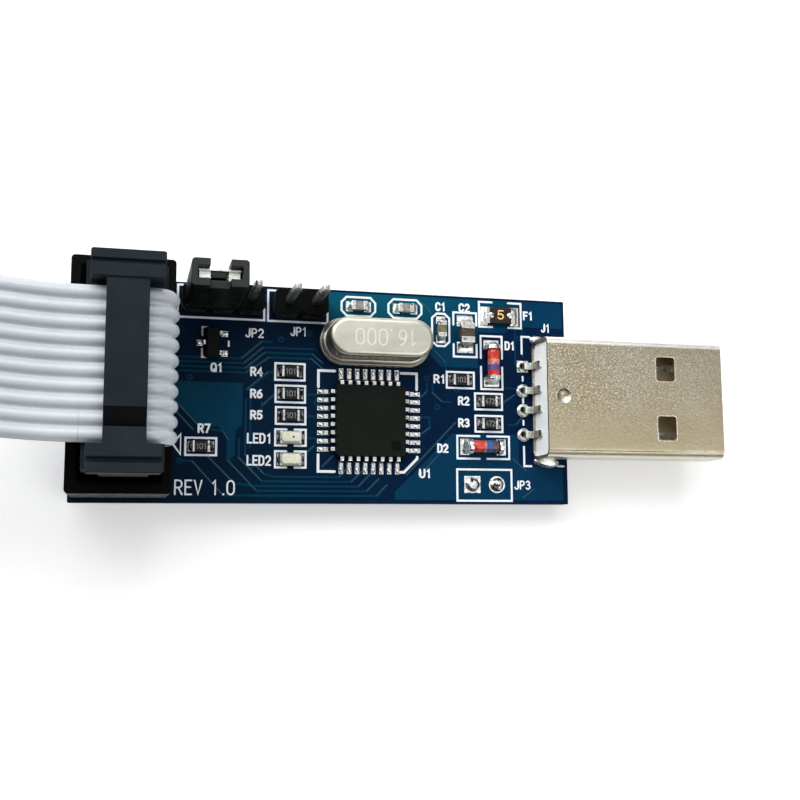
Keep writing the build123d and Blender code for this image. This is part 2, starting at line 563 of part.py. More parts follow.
# ------------------------------------------------------------------ assembly
def assemble():
    node("circuit_board", circuit_board())
    node("solder_joints", *solder_joints())
    node("mcu_body", mcu_body())
    node("mcu_leads", *mcu_leads())
    crystal()
    contacts = usb_contacts()
    node("usb_shell", usb_shell())
    node("usb_insulator", usb_insulator(contacts))
    for i, contact in enumerate(contacts):
        node(f"usb_contact_{i + 1}", contact)
    node("header_housing", header_housing())
    node("header_pins", *[square_pin(x, y, 0, TOP + HEADER_PIN_TOP) for x, y in header_pins])
    node("jumper_base_jp1", jumper_base(JP1_X, JP1_Y, 2))
    node("jumper_base_jp2", jumper_base(JP2_X, JP2_Y, 3))
    node("jumper_pins", *[square_pin(x, y, 0, TOP + JUMPER_PIN_TOP) for x, y in jumper_pins])
    node("shunt_housing", shunt_housing())
    node("shunt_clip", shunt_clip())

    resistor_ends, capacitor_ends, diode_glass, diode_ends, led_ends = [], [], [], [], []
    for name, (x, y, size) in RESISTORS.items():
        body, *ends = chip_part(x, y, 0, size)
        node(f"resistor_{name}", body)
        resistor_ends += ends
    for name, (x, y, turn, size) in CAPACITORS.items():
        body, *ends = chip_part(x, y, turn, size)
        node(f"capacitor_{name}", body)
        capacitor_ends += ends
    for x, y, turn in DIODES:
        glass, *ends = diode(x, y, turn)
        diode_glass.append(glass)
        diode_ends += ends
    for name, (x, y) in LEDS.items():
        base, lens, *ends = led(x, y)
        node(f"{name}_base", base)
        node(f"{name}_lens", lens)
        led_ends += ends
    node("resistor_ends", *resistor_ends)
    node("capacitor_ends", *capacitor_ends)
    node("diode_glass", *diode_glass)
    node("diode_ends", *diode_ends)
    node("led_ends", *led_ends)
    body, *ends = chip_part(FUSE_X, FUSE_Y, 0, CHIP_1206)
    node("fuse_f1", body)
    node("fuse_ends", *ends)
    transistor()

    ribbon_socket("socket", Pos(SOCKET_X, HEADER_Y, SOCKET_Z))
    free_ribbon()


assemble()
for name, shape in NODES.items():
    export_step(shape, f"parts/{name}.step")
print(len(NODES), "nodes")
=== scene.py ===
import json
import random
from math import cos, degrees, pi, radians, sin, sqrt

import bmesh
import bpy
from mathutils import Matrix, Vector

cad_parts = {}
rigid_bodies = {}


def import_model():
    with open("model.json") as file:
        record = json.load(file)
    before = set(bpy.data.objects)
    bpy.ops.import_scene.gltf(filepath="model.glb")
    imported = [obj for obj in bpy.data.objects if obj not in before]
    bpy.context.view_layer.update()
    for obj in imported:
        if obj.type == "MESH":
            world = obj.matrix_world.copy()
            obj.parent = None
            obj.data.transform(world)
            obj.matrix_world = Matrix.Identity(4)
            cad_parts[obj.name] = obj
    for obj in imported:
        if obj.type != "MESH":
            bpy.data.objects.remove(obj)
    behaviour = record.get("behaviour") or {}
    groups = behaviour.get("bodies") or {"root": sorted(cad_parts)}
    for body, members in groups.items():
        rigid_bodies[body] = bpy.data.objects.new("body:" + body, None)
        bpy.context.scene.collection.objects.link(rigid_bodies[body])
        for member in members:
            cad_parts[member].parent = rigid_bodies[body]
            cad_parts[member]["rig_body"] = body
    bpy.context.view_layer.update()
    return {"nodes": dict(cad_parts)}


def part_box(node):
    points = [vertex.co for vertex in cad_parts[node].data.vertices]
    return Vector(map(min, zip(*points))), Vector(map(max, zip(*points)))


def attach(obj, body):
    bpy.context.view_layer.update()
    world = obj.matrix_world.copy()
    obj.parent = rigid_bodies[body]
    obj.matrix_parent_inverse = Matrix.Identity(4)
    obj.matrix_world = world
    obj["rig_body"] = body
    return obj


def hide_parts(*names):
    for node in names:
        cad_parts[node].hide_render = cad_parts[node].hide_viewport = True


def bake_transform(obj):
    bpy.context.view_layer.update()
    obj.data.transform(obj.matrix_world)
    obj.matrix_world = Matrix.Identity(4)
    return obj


# The looks of a USB microcontroller programmer. The detail here is drawn in millimetres and turned
# into metres by piece(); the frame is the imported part's: +X out of the USB plug, +Z out of the
# component side, +Y towards the jumper headers.

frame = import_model()
nodes = frame["nodes"]
MM = 0.001


def low(node):
    """A CAD node's lowest corner in millimetres."""
    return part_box(node)[0] / MM


def high(node):
    """A CAD node's highest corner in millimetres."""
    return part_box(node)[1] / MM


def middle(node):
    """The middle of a CAD node's box in millimetres."""
    return (low(node) + high(node)) / 2


TOP, UNDER = high("circuit_board").z, low("circuit_board").z  # the board's two faces
MCU = middle("mcu_body")
PRINT = 0.03  # how far the legend stands off the board
STEP = 0.004  # between strokes that cross, so that no two faces share a plane
TRACK = 0.015  # how far a track lifts the solder mask


# ------------------------------------------------------------------ materials
class Finish:
    """A procedural material, built up from its plain colour. Scales are in features a millimetre.
    Each step returns the Finish, so that steps can be chained."""

    def __init__(self, name, colour, **sockets):
        self.material = bpy.data.materials.new(name)
        self.material.use_nodes = True
        self.tree = self.material.node_tree
        self.shader = self.tree.nodes["Principled BSDF"]
        self.colour, self.normal = (*colour, 1.0), None
        self.shader.inputs["Base Color"].default_value = self.colour
        for socket, value in sockets.items():
            self.shader.inputs[socket.replace("_", " ")].default_value = value

    def node(self, kind, **settings):
        made = self.tree.nodes.new(kind)
        for name, value in settings.items():
            setattr(made, name, value)
        return made

    def wire(self, source, target):
        self.tree.links.new(source, target)

    def place(self, stretch=(1, 1, 1)):
        """Where a point is on the object, in millimetres, stretched on each axis."""
        coordinates = self.node("ShaderNodeTexCoord")
        mapping = self.node("ShaderNodeMapping")
        mapping.inputs["Scale"].default_value = [s / MM for s in stretch]
        self.wire(coordinates.outputs["Object"], mapping.inputs["Vector"])
        return mapping.outputs["Vector"]

    def noise(self, scale, detail=3.0, stretch=(1, 1, 1)):
        texture = self.node("ShaderNodeTexNoise")
        texture.inputs["Scale"].default_value = scale
        texture.inputs["Detail"].default_value = detail
        self.wire(self.place(stretch), texture.inputs["Vector"])
        return texture.outputs["Fac"]

    def spread(self, value, low_in, high_in, low_out=0.0, high_out=1.0):
        """Maps a range of a value to another, clamped."""
        mapped = self.node("ShaderNodeMapRange")
        settings = {"From Min": low_in, "From Max": high_in, "To Min": low_out, "To Max": high_out}
        for name, number in settings.items():
            mapped.inputs[name].default_value = number
        self.wire(value, mapped.inputs["Value"])
        return mapped.outputs["Result"]

    def tint(self, factor, colour):
        """Mixes a second colour over what the material has so far."""
        mix = self.node("ShaderNodeMix", data_type="RGBA")
        first, second = mix.inputs[6], mix.inputs[7]
        if isinstance(self.colour, tuple):
            first.default_value = self.colour
        else:
            self.wire(self.colour, first)
        second.default_value = (*colour, 1.0)
        self.wire(factor, mix.inputs["Factor"])
        self.colour = mix.outputs[2]
        self.wire(self.colour, self.shader.inputs["Base Color"])
        return self

    def mottle(self, scale, colour, low_in=0.4, high_in=0.65):
        """Patches of a second colour."""
        return self.tint(self.spread(self.noise(scale), low_in, high_in), colour)

    def uneven(self, scale, smooth, rough, stretch=(1, 1, 1)):
        """Roughness that wanders between two values."""
        mapped = self.spread(self.noise(scale, stretch=stretch), 0.35, 0.65, smooth, rough)
        self.wire(mapped, self.shader.inputs["Roughness"])
        return self

    def times(self, first, second):
        product = self.node("ShaderNodeMath", operation="MULTIPLY")
        self.wire(first, product.inputs[0])
        self.wire(second, product.inputs[1])
        return product.outputs["Value"]

    def grain(self, scale, depth, stretch=(1, 1, 1)):
        """Bumps of that depth in millimetres."""
        bump = self.node("ShaderNodeBump")
        bump.inputs["Strength"].default_value = 1.0
        bump.inputs["Distance"].default_value = depth * MM
        self.wire(self.noise(scale, stretch=stretch), bump.inputs["Height"])
        if self.normal:
            self.wire(self.normal, bump.inputs["Normal"])
        self.normal = bump.outputs["Normal"]
        self.wire(self.normal, self.shader.inputs["Normal"])
        return self

    def component(self, vector, axis):
        split = self.node("ShaderNodeSeparateXYZ")
        self.wire(vector, split.inputs["Vector"])
        return split.outputs[axis]

    def along(self, axis, *limits):
        """A share that changes with the object's own X, Y or Z in millimetres, between limits."""
        return self.spread(self.component(self.place(), axis), *limits)

    def facing(self, axis, *limits, sign=0):
        """A share that changes with how far a face looks along X, Y or Z: either way, or the sign's."""
        normal = self.node("ShaderNodeNewGeometry").outputs["True Normal"]
        share = self.node("ShaderNodeMath", operation="MULTIPLY" if sign else "ABSOLUTE")
        self.wire(self.component(normal, axis), share.inputs[0])
        if sign:
            share.inputs[1].default_value = sign
        return self.spread(share.outputs["Value"], *limits)


def board_mask(name, colour, deep, right):
    """Blue solder mask: it greys to teal at the header end and is bluer at the plug's."""
    mask = Finish(name, colour, Specular_IOR_Level=0.035)
    mask.mottle(0.1, deep, 0.38, 0.68)
    mask.tint(mask.along("X", -20.0, 14.0, 0.0, 0.85), right)
    mask.mottle(2.2, deep, 0.5, 0.9)
    return mask.uneven(0.9, 0.32, 0.46).grain(5.0, 0.006).grain(0.7, 0.02)


def circuit_board_finish():
    """Its cut edges show bare laminate with a woven grain."""
    colours = (0.0005, 0.0135, 0.032), (0.0004, 0.0078, 0.024), (0.0005, 0.0115, 0.046)
    mask = board_mask("solder_mask", *colours)
    edge = mask.facing("Z", 0.3, 0.6, 1.0, 0.0)
    mask.tint(edge, (0.012, 0.018, 0.02))
    weave = mask.spread(mask.noise(1.4, stretch=(1, 1, 7)), 0.5, 0.75, 0.0, 0.6)
    return mask.tint(mask.times(edge, weave), (0.06, 0.065, 0.045))


def copper_mask_finish():
    """The mask is thinner over copper, and thinnest along the jumper headers' edge."""
    colours = (0.0007, 0.042, 0.082), (0.0006, 0.031, 0.064), (0.0006, 0.031, 0.082)
    mask = board_mask("mask_over_copper", *colours)
    edge = mask.times(mask.along("Y", 6.0, 9.0), mask.along("X", -2.0, 13.0, 0.8, 0.0))
    return mask.tint(edge, (0.001, 0.085, 0.135))


def moulding(name, colour, lighter, rough=(0.42, 0.58), depth=0.008, shine=0.18):
    """Glass-filled plastic: a fine matte grain with pale flecks and a faint flow pattern."""
    finish = Finish(name, colour, Specular_IOR_Level=shine)
    finish.mottle(0.35, lighter, 0.35, 0.8)
    finish.mottle(9.0, lighter, 0.62, 0.72)
    return finish.uneven(1.3, *rough).grain(7.0, depth).grain(0.8, depth * 2)


def relief_finish():
    """The socket's plastic, with painted shade on the slope of the dip in the strain relief."""
    finish = moulding("relief_plastic", SOCKET_GREY, SOCKET_PALE, (0.46, 0.6), 0.005, 0.06)
    # painted shade: level-ish faces tilted towards -Y, on the dip's slope, are tinted darker
    slope = finish.times(finish.facing("Y", 0.2, 0.3, sign=-1), finish.facing("Z", 0.85, 0.92))
    return finish.tint(slope, (0.0015, 0.002, 0.0024))


def shunt_finish():
    """Semi-matte black plastic; its sides are painted darker than its top, as painted shade."""
    finish = moulding("shunt_plastic", (0.025, 0.03, 0.0295), (0.034, 0.04, 0.039), (0.36, 0.5), shine=0.1)
    # painted shade: every face that does not look up is tinted near-black
    return finish.tint(finish.facing("Z", 0.3, 0.7, 1.0, 0.0), (0.001, 0.002, 0.0012))


def nickel_shell_finish():
    """Warm nickel on sheet: an orange-peel speckle that fades to satin. Faces turned towards +Y, and more
    faintly those towards -Y, are painted lighter as painted highlight; a painted dark reflection runs along
    the fold into the -Y side, and painted shade lies on -Y-facing walls such as those inside the latch
    windows.
    """
    metal = Finish("nickel_shell", (0.425, 0.365, 0.24), Metallic=1.0)
    metal.mottle(0.16, (0.46, 0.42, 0.32), 0.42, 0.7)
    away = metal.along("X", 13.0, 31.0, 1.0, 0.4)
    side = metal.along("Y", -4.5, 0.5, 0.1, 1.0)
    dark, pale = metal.noise(6.4, 2.0), metal.noise(5.6, 2.0, stretch=(1, 1, 1.02))
    for speck, colour in ((dark, (0.165, 0.145, 0.095)), (pale, (0.76, 0.72, 0.57))):
        amount = metal.times(metal.spread(speck, 0.52, 0.64), metal.times(away, side))
        metal.tint(amount, colour)
    # painted highlight on faces turned towards +Y
    metal.tint(metal.facing("Y", 0.1, 0.35, sign=1), (0.97, 0.95, 0.9))
    # painted highlight, fainter, on faces turned towards -Y
    metal.tint(metal.facing("Y", 0.25, 0.6, sign=-1), (0.6, 0.58, 0.47))
    fold, half_line = -5.36, 0.06  # where the top turns down into the -Y side
    # a painted dark reflection, in a thin line along the fold
    fold_dark_reflection = metal.times(metal.along("Y", fold, fold + half_line, 1.0, 0.0),
                         metal.along("Y", fold - half_line, fold))
    metal.tint(metal.times(fold_dark_reflection, metal.along("X", 24.0, 30.0, 1.0, 0.0)), (0.02, 0.014, 0.01))
    # painted shade on -Y-facing faces beyond Y -2.6 mm, such as the walls inside the latch windows
    window_wall_shade = metal.times(metal.facing("Y", 0.25, 0.42, sign=-1), metal.along("Y", -3.0, -2.6))
    metal.tint(window_wall_shade, (0.09, 0.075, 0.05))
    metal.uneven(3.0, 0.3, 0.44)
    metal.grain(4.0, 0.016)
    metal.grain(1.5, 0.012, stretch=(0.15, 1, 1))
    return metal


def insulator_finish():
    """Pale moulding at the plug's back; its tongue, inside the shell, is painted dull brown as painted
    shade.
    """
    plastic = Finish("pale_plastic", (0.9, 0.94, 0.95), Specular_IOR_Level=0.3)
    plastic.mottle(0.8, (0.94, 0.96, 0.97), 0.4, 0.7)
    plastic.mottle(9.0, (0.8, 0.85, 0.87), 0.6, 0.75)
    # painted shade: the tongue beyond X 19 mm is tinted dull brown
    plastic.tint(plastic.along("X", 18.6, 19.4), (0.36, 0.28, 0.155))
    return plastic.uneven(1.3, 0.4, 0.55).grain(7.0, 0.008)


def crystal_finish():
    """Satin nickel-plated steel, brushed along the can. Its sides are painted darker and warmer than its top
    as painted shade, with a band of painted shade just under the rim.
    """
    metal = Finish("crystal_can", (0.57, 0.56, 0.47), Metallic=1.0)
    metal.mottle(0.4, (0.62, 0.61, 0.52), 0.4, 0.7)
    # painted shade: faces that turn away from the top are tinted darker and warmer
    metal.tint(metal.facing("Z", 0.2, 0.75, 0.8, 0.0), (0.5, 0.42, 0.29))
    rim = high("crystal_can").z
    # a band of painted shade round the can just under its rim
    rim_shade_band = metal.times(metal.along("Z", rim - 0.42, rim - 0.32, 1.0, 0.0),
                      metal.along("Z", rim - 0.75, rim - 0.6))
    metal.tint(rim_shade_band, (0.02, 0.014, 0.008))
    metal.uneven(2.0, 0.32, 0.42, stretch=(0.2, 1, 1))
    metal.grain(6.0, 0.006, stretch=(0.25, 1, 1))
    return metal


def solder_finish(name, colour, rough, dark, cover=(0.5, 0.6)):
    """Reflowed solder: bright and dark patches side by side, on a lumpy skin."""
    metal = Finish(name, colour, Metallic=1.0).mottle(2.3, dark, *cover)
    return metal.uneven(3.0, *rough).grain(2.4, 0.04)


def pin_finish():
    """Tinned square wire, drawn smooth and a little dulled."""
    metal = Finish("pin_metal", (0.5, 0.5, 0.47), Metallic=1.0)
    metal.mottle(0.5, (0.36, 0.36, 0.34), 0.5, 0.7)
    return metal.uneven(0.8, 0.26, 0.36).grain(3.0, 0.001)


def lead_finish():
    """Tinned leads, bright on their flats, with painted shade where they slope down to the board."""
    metal = Finish("lead_metal", (0.9, 0.9, 0.88), Metallic=1.0)
    metal.mottle(2.6, (0.45, 0.45, 0.43), 0.55, 0.66)
    # painted shade on every face that is not level
    metal.tint(metal.facing("Z", 0.7, 0.93, 1.0, 0.0), (0.025, 0.027, 0.03))
    return metal.uneven(3.0, 0.14, 0.26).grain(2.4, 0.02)


def contact_finish():
    """Tinned bronze: pale flat faces, with painted shade, olive in tone, on faces turned along X, where the
    sheet turns.
    """
    metal = Finish("contact_metal", (0.9, 0.93, 0.87), Metallic=1.0)
    metal.mottle(1.5, (0.6, 0.63, 0.55), 0.45, 0.7)
    # painted shade: faces turned along X are tinted olive-dark
    metal.tint(metal.facing("X", 0.3, 0.7), (0.16, 0.17, 0.125))
    return metal.uneven(2.5, 0.22, 0.4).grain(5.0, 0.006, stretch=(0.3, 1, 1))


def ribbon_finish():
    """Pale grey soft PVC, a little dusty in patches, with a faint bumpy grain."""
    skin = Finish("ribbon_pvc", (0.46, 0.5, 0.535), Specular_IOR_Level=0.7)
    skin.mottle(0.25, (0.51, 0.55, 0.58), 0.35, 0.7)
    skin.mottle(3.5, (0.41, 0.45, 0.485), 0.58, 0.8)
    return skin.uneven(1.2, 0.28, 0.4).grain(3.0, 0.012)


def chip_finish():
    epoxy = Finish("chip_moulding", (0.006, 0.0092, 0.0066), Specular_IOR_Level=0.05)
    epoxy.mottle(0.3, (0.0085, 0.012, 0.009), 0.35, 0.75)
    epoxy.mottle(14.0, (0.014, 0.017, 0.014), 0.6, 0.75)
    return epoxy.uneven(2.0, 0.5, 0.66).grain(12.0, 0.004)


def ceramic_finish(name, colour, lighter):
    fired = Finish(name, colour, Specular_IOR_Level=0.2).mottle(3.0, lighter, 0.4, 0.65)
    return fired.uneven(4.0, 0.34, 0.5).grain(8.0, 0.006)


def coat_finish(name, colour, lighter):
    """Printed overcoat on a chip part: black glaze, or the dark laminate of the fuse."""
    glaze = Finish(name, colour, Specular_IOR_Level=0.25).mottle(2.5, lighter, 0.45, 0.7)
    return glaze.uneven(3.0, 0.26, 0.44).grain(5.0, 0.008)


def lens_finish(name, colour, warm):
    lens = Finish(name, colour, Subsurface_Weight=0.2, Subsurface_Radius=(0.0004, 0.0004, 0.0003),
                  Subsurface_Scale=1.0)
    return lens.mottle(1.6, warm, 0.4, 0.6).uneven(3.0, 0.12, 0.3).grain(3.0, 0.01)


def glass_finish(name, colour, streak):
    glass = Finish(name, colour, Specular_IOR_Level=0.6).mottle(2.0, streak, 0.45, 0.65)
    return glass.uneven(4.0, 0.08, 0.16).grain(3.0, 0.008)


def ink_finish(name, colour, worn, rough=0.5):
    """Printed ink with slightly thin patches."""
    ink = Finish(name, colour).mottle(6.0, worn, 0.6, 0.85)
    return ink.uneven(5.0, rough - 0.08, rough + 0.1).grain(8.0, 0.005)


MASK = circuit_board_finish()
COPPER_MASK = copper_mask_finish()
# pale strips beside the slanted tracks: painted highlight
TRACK_GLINT_PAINT = ink_finish("painted_track_glint", (0.014, 0.06, 0.09), (0.006, 0.035, 0.06), 0.3)
INK = ink_finish("white_legend", (0.8, 0.84, 0.87), (0.6, 0.66, 0.72))
SOLDER = solder_finish("solder", (0.78, 0.79, 0.8), (0.14, 0.34), (0.05, 0.055, 0.06))
TIN = solder_finish("tin_plate", (0.8, 0.8, 0.77), (0.16, 0.28), (0.2, 0.2, 0.19), (0.56, 0.66))
LEAD_METAL = lead_finish()
PALE_SOLDER = solder_finish("pale_solder", (0.86, 0.88, 0.84), (0.2, 0.36), (0.2, 0.21, 0.2), (0.55, 0.68))
# a darkened copy of the solder for the resistors' and LEDs' pads: painted dark reflection
DARKENED_SOLDER = solder_finish("solder_painted_dark", (0.4, 0.41, 0.41), (0.2, 0.4), (0.022, 0.024, 0.026), (0.4, 0.58))
CONTACT = contact_finish()
GOLD = ink_finish("gold_ink", (0.85, 0.55, 0.22), (0.55, 0.33, 0.1), 0.35)
GREY_INK = ink_finish("grey_ink", (0.2, 0.2, 0.2), (0.1, 0.1, 0.1), 0.45)
ETCHED = Finish("etched_marking", (0.76, 0.76, 0.64), Roughness=0.45, Metallic=1.0).grain(9.0, 0.008)
BLACK = moulding("black_plastic", (0.0008, 0.0018, 0.001), (0.0022, 0.0035, 0.003), (0.38, 0.55), shine=0.04)
SOCKET_GREY, SOCKET_PALE = (0.012, 0.018, 0.023), (0.017, 0.0245, 0.031)
BLUE_GREY = moulding("socket_plastic", SOCKET_GREY, SOCKET_PALE, (0.46, 0.6), 0.005, 0.06)
RELIEF = relief_finish()
SHUNT_BLACK = shunt_finish()
PIN_METAL = pin_finish()
DIMPLE = moulding("chip_dimple", (0.0028, 0.0046, 0.0033), (0.004, 0.006, 0.0045), shine=0.04)
NYLON = moulding("tie_nylon", (0.012, 0.012, 0.013), (0.02, 0.02, 0.021), (0.32, 0.45))
PALE = insulator_finish()
CHIP = chip_finish()
CAN = crystal_finish()
SHELL = nickel_shell_finish()
# bright strips round the latch windows: painted highlight
RIM_HIGHLIGHT_PAINT = solder_finish("painted_rim_highlight", (0.9, 0.86, 0.72), (0.26, 0.36), (0.62, 0.57, 0.44), (0.45, 0.65))
OLIVE_CERAMIC = ceramic_finish("olive_ceramic", (0.13, 0.115, 0.06), (0.19, 0.175, 0.1))
GREY_CERAMIC = ceramic_finish("grey_ceramic", (0.2, 0.2, 0.19), (0.27, 0.27, 0.26))
BROWN_CERAMIC = ceramic_finish("brown_ceramic", (0.055, 0.045, 0.028), (0.08, 0.068, 0.045))
RESISTOR = coat_finish("resistor_coat", (0.0045, 0.005, 0.005), (0.01, 0.0105, 0.0105))
FUSE = coat_finish("fuse_coat", (0.017, 0.01, 0.006), (0.035, 0.02, 0.011))
LENS = lens_finish("led_lens", (0.7, 0.72, 0.52), (0.78, 0.8, 0.68))
LED_BASE = moulding("led_base", (0.5, 0.51, 0.42), (0.6, 0.6, 0.52), (0.4, 0.55))
RED_GLASS = glass_finish("diode_red_glass", (0.5, 0.018, 0.01), (0.62, 0.045, 0.02))
CLEAR_GLASS = glass_finish("diode_clear_glass", (0.36, 0.1, 0.06), (0.6, 0.3, 0.2))
BLUE_BAND = ink_finish("diode_blue_band", (0.022, 0.075, 0.29), (0.04, 0.11, 0.36), 0.3)
PURPLE_BAND = ink_finish("diode_purple_band", (0.07, 0.045, 0.22), (0.1, 0.05, 0.2), 0.3)
DARK_GLASS = glass_finish("diode_dark_glass", (0.06, 0.045, 0.05), (0.25, 0.03, 0.03))
SEAL = glass_finish("seal_glass", (0.05, 0.07, 0.06), (0.1, 0.13, 0.11))
QUARTZ = glass_finish("quartz", (0.75, 0.8, 0.82), (0.85, 0.88, 0.9))
RIBBON = ribbon_finish()
COPPER = solder_finish("copper_strands", (0.72, 0.36, 0.2), (0.2, 0.35), (0.3, 0.13, 0.06))
# near-black: the LED's die, and painted shade down the plug contacts' holes
DARK = Finish("dark_die_and_hole_shade", (0.004, 0.004, 0.004), Roughness=0.8).grain(3.0, 0.01)


# ------------------------------------------------------------------ mesh tools, in millimetres
class Shape:
    """The vertices and faces of one piece, with the number of each face's material."""

    def __init__(self):
        self.verts, self.faces, self.finishes = [], [], []

    def add(self, verts, faces, finish=0):
        base = len(self.verts)
        self.verts += [tuple(v) for v in verts]
        self.faces += [[base + i for i in face] for face in faces]
        self.finishes += [finish] * len(faces)

    def prism(self, outline, bottom, top):
        """An outline in XY, run anticlockwise, between two heights."""
        n = len(outline)
        verts = [(x, y, bottom) for x, y in outline] + [(x, y, top) for x, y in outline]
        sides = [(i, (i + 1) % n, n + (i + 1) % n, n + i) for i in range(n)]
        self.add(verts, [list(range(n))[::-1], [n + i for i in range(n)], *sides])

    def grid(self, rows, closed=False, caps=False, finish=0):
        """Rows of points joined into a skin; closed joins each row's end to its start."""
        width = len(rows[0])
        last = width if closed else width - 1
        faces = []
        for i in range(len(rows) - 1):
            for j in range(last):
                a, b = i * width + j, i * width + (j + 1) % width
                faces.append((a, b, b + width, a + width))
        if caps:
            faces.append(list(range(width))[::-1])
            faces.append([(len(rows) - 1) * width + j for j in range(width)])
        self.add([p for row in rows for p in row], faces, finish)


def in_scene(name, data):
    made = bpy.data.objects.new(name, data)
    bpy.context.scene.collection.objects.link(made)
    return made


def piece(name, shape, finishes, body="root", sharp=None):
    """Makes an object of a shape in millimetres, and lets it ride on its body. A given sharp angle
    shades it smooth where its faces meet at less than that."""
    mesh = bpy.data.meshes.new(name)
    mesh.from_pydata([Vector(v) * MM for v in shape.verts], [], shape.faces)
    for finish in finishes if isinstance(finishes, list) else [finishes]:
        mesh.materials.append(finish.material)
    mesh.polygons.foreach_set("material_index", shape.finishes)
    if sharp:
        mesh.shade_smooth()
        mesh.set_sharp_from_angle(angle=radians(sharp))
    mesh.update()
    made = in_scene(name, mesh)
    if body:
        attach(made, body)
    return made


def turned(x, y, angle):
    """A function that moves a point from a part's own axes to its place on the board."""
    c, s = cos(radians(angle)), sin(radians(angle))
    return lambda px, py: (x + px * c - py * s, y + px * s + py * c)


def strokes(shape, points, width, bottom, top):
    """A drawn line with mitred corners and round ends; a line that ends where it starts is closed."""
    run = [Vector(p) for p in points]
    closed = (run[0] - run[-1]).length < 0.001
    if closed:
        run.pop()
    half, last, least_cosine = width / 2, len(run) - 1, 0.6
    crossings = []
    for i, here in enumerate(run):
        ahead = run[(i + 1) % len(run)] - here
        behind = here - run[i - 1]
        if not closed and i == last:
            ahead = behind
        if not closed and i == 0:
            behind = ahead
        way = (ahead.normalized() + behind.normalized()).normalized()
        side = Vector((-way.y, way.x)) * half / max(least_cosine, way.dot(ahead.normalized()))
        crossings.append((here, side))
    if closed:
        crossings.append(crossings[0])
    else:
        for end, sign in ((crossings[0], -1), (crossings[-1], 1)):
            along = Vector((end[1].y, -end[1].x)) * sign
            turns = [radians(a) for a in (25, 50, 72, 86)]
            tips = [(end[0] + along * sin(a), end[1] * cos(a)) for a in turns]
            crossings = tips[::-1] + crossings if sign < 0 else crossings + tips
    rows = []
    for here, side in crossings:
        left, right = here + side, here - side
        rows.append([(*right, bottom), (*right, top), (*left, top), (*left, bottom)])
    shape.grid(rows, closed=True, caps=not closed)


def disc(radius, x, y, sides=20):
    turns = [2 * pi * i / sides for i in range(sides)]
    return [(x + radius * cos(a), y + radius * sin(a)) for a in turns]


def rectangle(x, y, width, height):
    w, h = width / 2, height / 2
    return [(x - w, y - h), (x + w, y - h), (x + w, y + h), (x - w, y + h)]


def ring(shape, x, y, inner, outer, bottom, top, sides=24, square=False):
    """A flat ring, such as the pad round a hole; the outside can be square."""
    rows = []
    for radius, z in ((inner, bottom), (inner, top), (outer, top), (outer, bottom), (inner, bottom)):
        row = []
        for px, py in disc(radius, 0, 0, sides):
            grow = radius / max(abs(px), abs(py)) if square and radius == outer else 1.0
            row.append((x + px * grow, y + py * grow, z))
        rows.append(row)
    shape.grid(rows, closed=True)


def dome(shape, x, y, radii, bottom, height, angle=0.0, flat=0.0, sides=20, steps=6):
    """A rounded drop of solder on an oval foot; flat is how much of its middle is level."""
    at = turned(x, y, angle)
    rows = []
    for i in range(steps + 1):
        a = pi / 2 * i / steps
        share = flat + (1 - flat) * cos(a) if i < steps else flat or 0.02
        level = [at(px * share * radii[0], py * share * radii[1]) for px, py in disc(1.0, 0, 0, sides)]
        rows.append([(*point, bottom + height * sin(a)) for point in level])
    shape.grid(rows, closed=True, caps=True)


def solder_ramp(shape, place, start, reach, width, height):
    """Solder that runs down in a hollow curve from a part's end to the edge of its pad."""
    steps, across = 6, 8
    rows = []
    for i in range(steps + 1):
        share = i / steps
        out = start + reach * share
        half = width / 2 * sqrt(max(0.0, 1 - 0.75 * share ** 3))
        z = 0.02 + height * (1 - share) ** 2.2
        row = []
        for j in range(across + 1):
            y = -half + 2 * half * j / across
            fall = 1 - 0.6 * abs(y / half) ** 3
            row.append((*place(out, y), TOP + z * fall))
        rows.append(row + [(*place(out, half), TOP), (*place(out, -half), TOP)])
    shape.grid(rows, closed=True, caps=True)


def rounded(node, width, finish, segments=2, angle=30):
    """A copy of a CAD node with its sharp edges rounded, shown in the node's place."""
    source = nodes[node]
    mesh = bpy.data.meshes.new(node)
    faces = [list(p.vertices) for p in source.data.polygons]
    mesh.from_pydata([v.co / MM for v in source.data.vertices], [], faces)
    bm = bmesh.new()
    bm.from_mesh(mesh)
    bmesh.ops.remove_doubles(bm, verts=bm.verts, dist=0.002)
    bmesh.ops.dissolve_limit(bm, angle_limit=radians(0.5), verts=bm.verts, edges=bm.edges)
    bm.to_mesh(mesh)
    bm.free()
    made = in_scene(node + "_shown", mesh)
    bevel = made.modifiers.new("round", "BEVEL")
    bevel.width, bevel.segments, bevel.limit_method = width, segments, "ANGLE"
    bevel.angle_limit, bevel.harden_normals, bevel.use_clamp_overlap = radians(angle), True, True
    mesh.shade_smooth()
    mesh.set_sharp_from_angle(angle=radians(angle))
    bpy.context.view_layer.update()
    finished = bpy.data.meshes.new_from_object(made.evaluated_get(bpy.context.evaluated_depsgraph_get()))
    made.modifiers.clear()
    finished.transform(Matrix.Scale(MM, 4))
    made.data = finished
    finished.materials.clear()
    finished.materials.append(finish.material)
    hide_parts(node)
    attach(made, source["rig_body"])
    return made


# ------------------------------------------------------------------ stroke lettering
def bow(x, y, rx, ry, start, end, steps=6):
    """Points on an oval from one angle to another."""
    turn = [radians(start + (end - start) * i / steps) for i in range(steps + 1)]
    return [(x + rx * cos(a), y + ry * sin(a)) for a in turn]


def loop(*arcs):
    """A closed line through the given arcs."""
    points = [p for arc in arcs for p in arc]
    return points + [points[0]]


ZERO = loop(bow(0.3, 0.7, 0.3, 0.3, 0, 180), bow(0.3, 0.3, 0.3, 0.3, 180, 360))
BOWL = [(0.0, 1.0), (0.3, 1.0)] + bow(0.3, 0.74, 0.28, 0.26, 60, -60, 4) + [(0.3, 0.48), (0.0, 0.48)]
STEM = [(0.0, 0.0), (0.0, 1.0)]

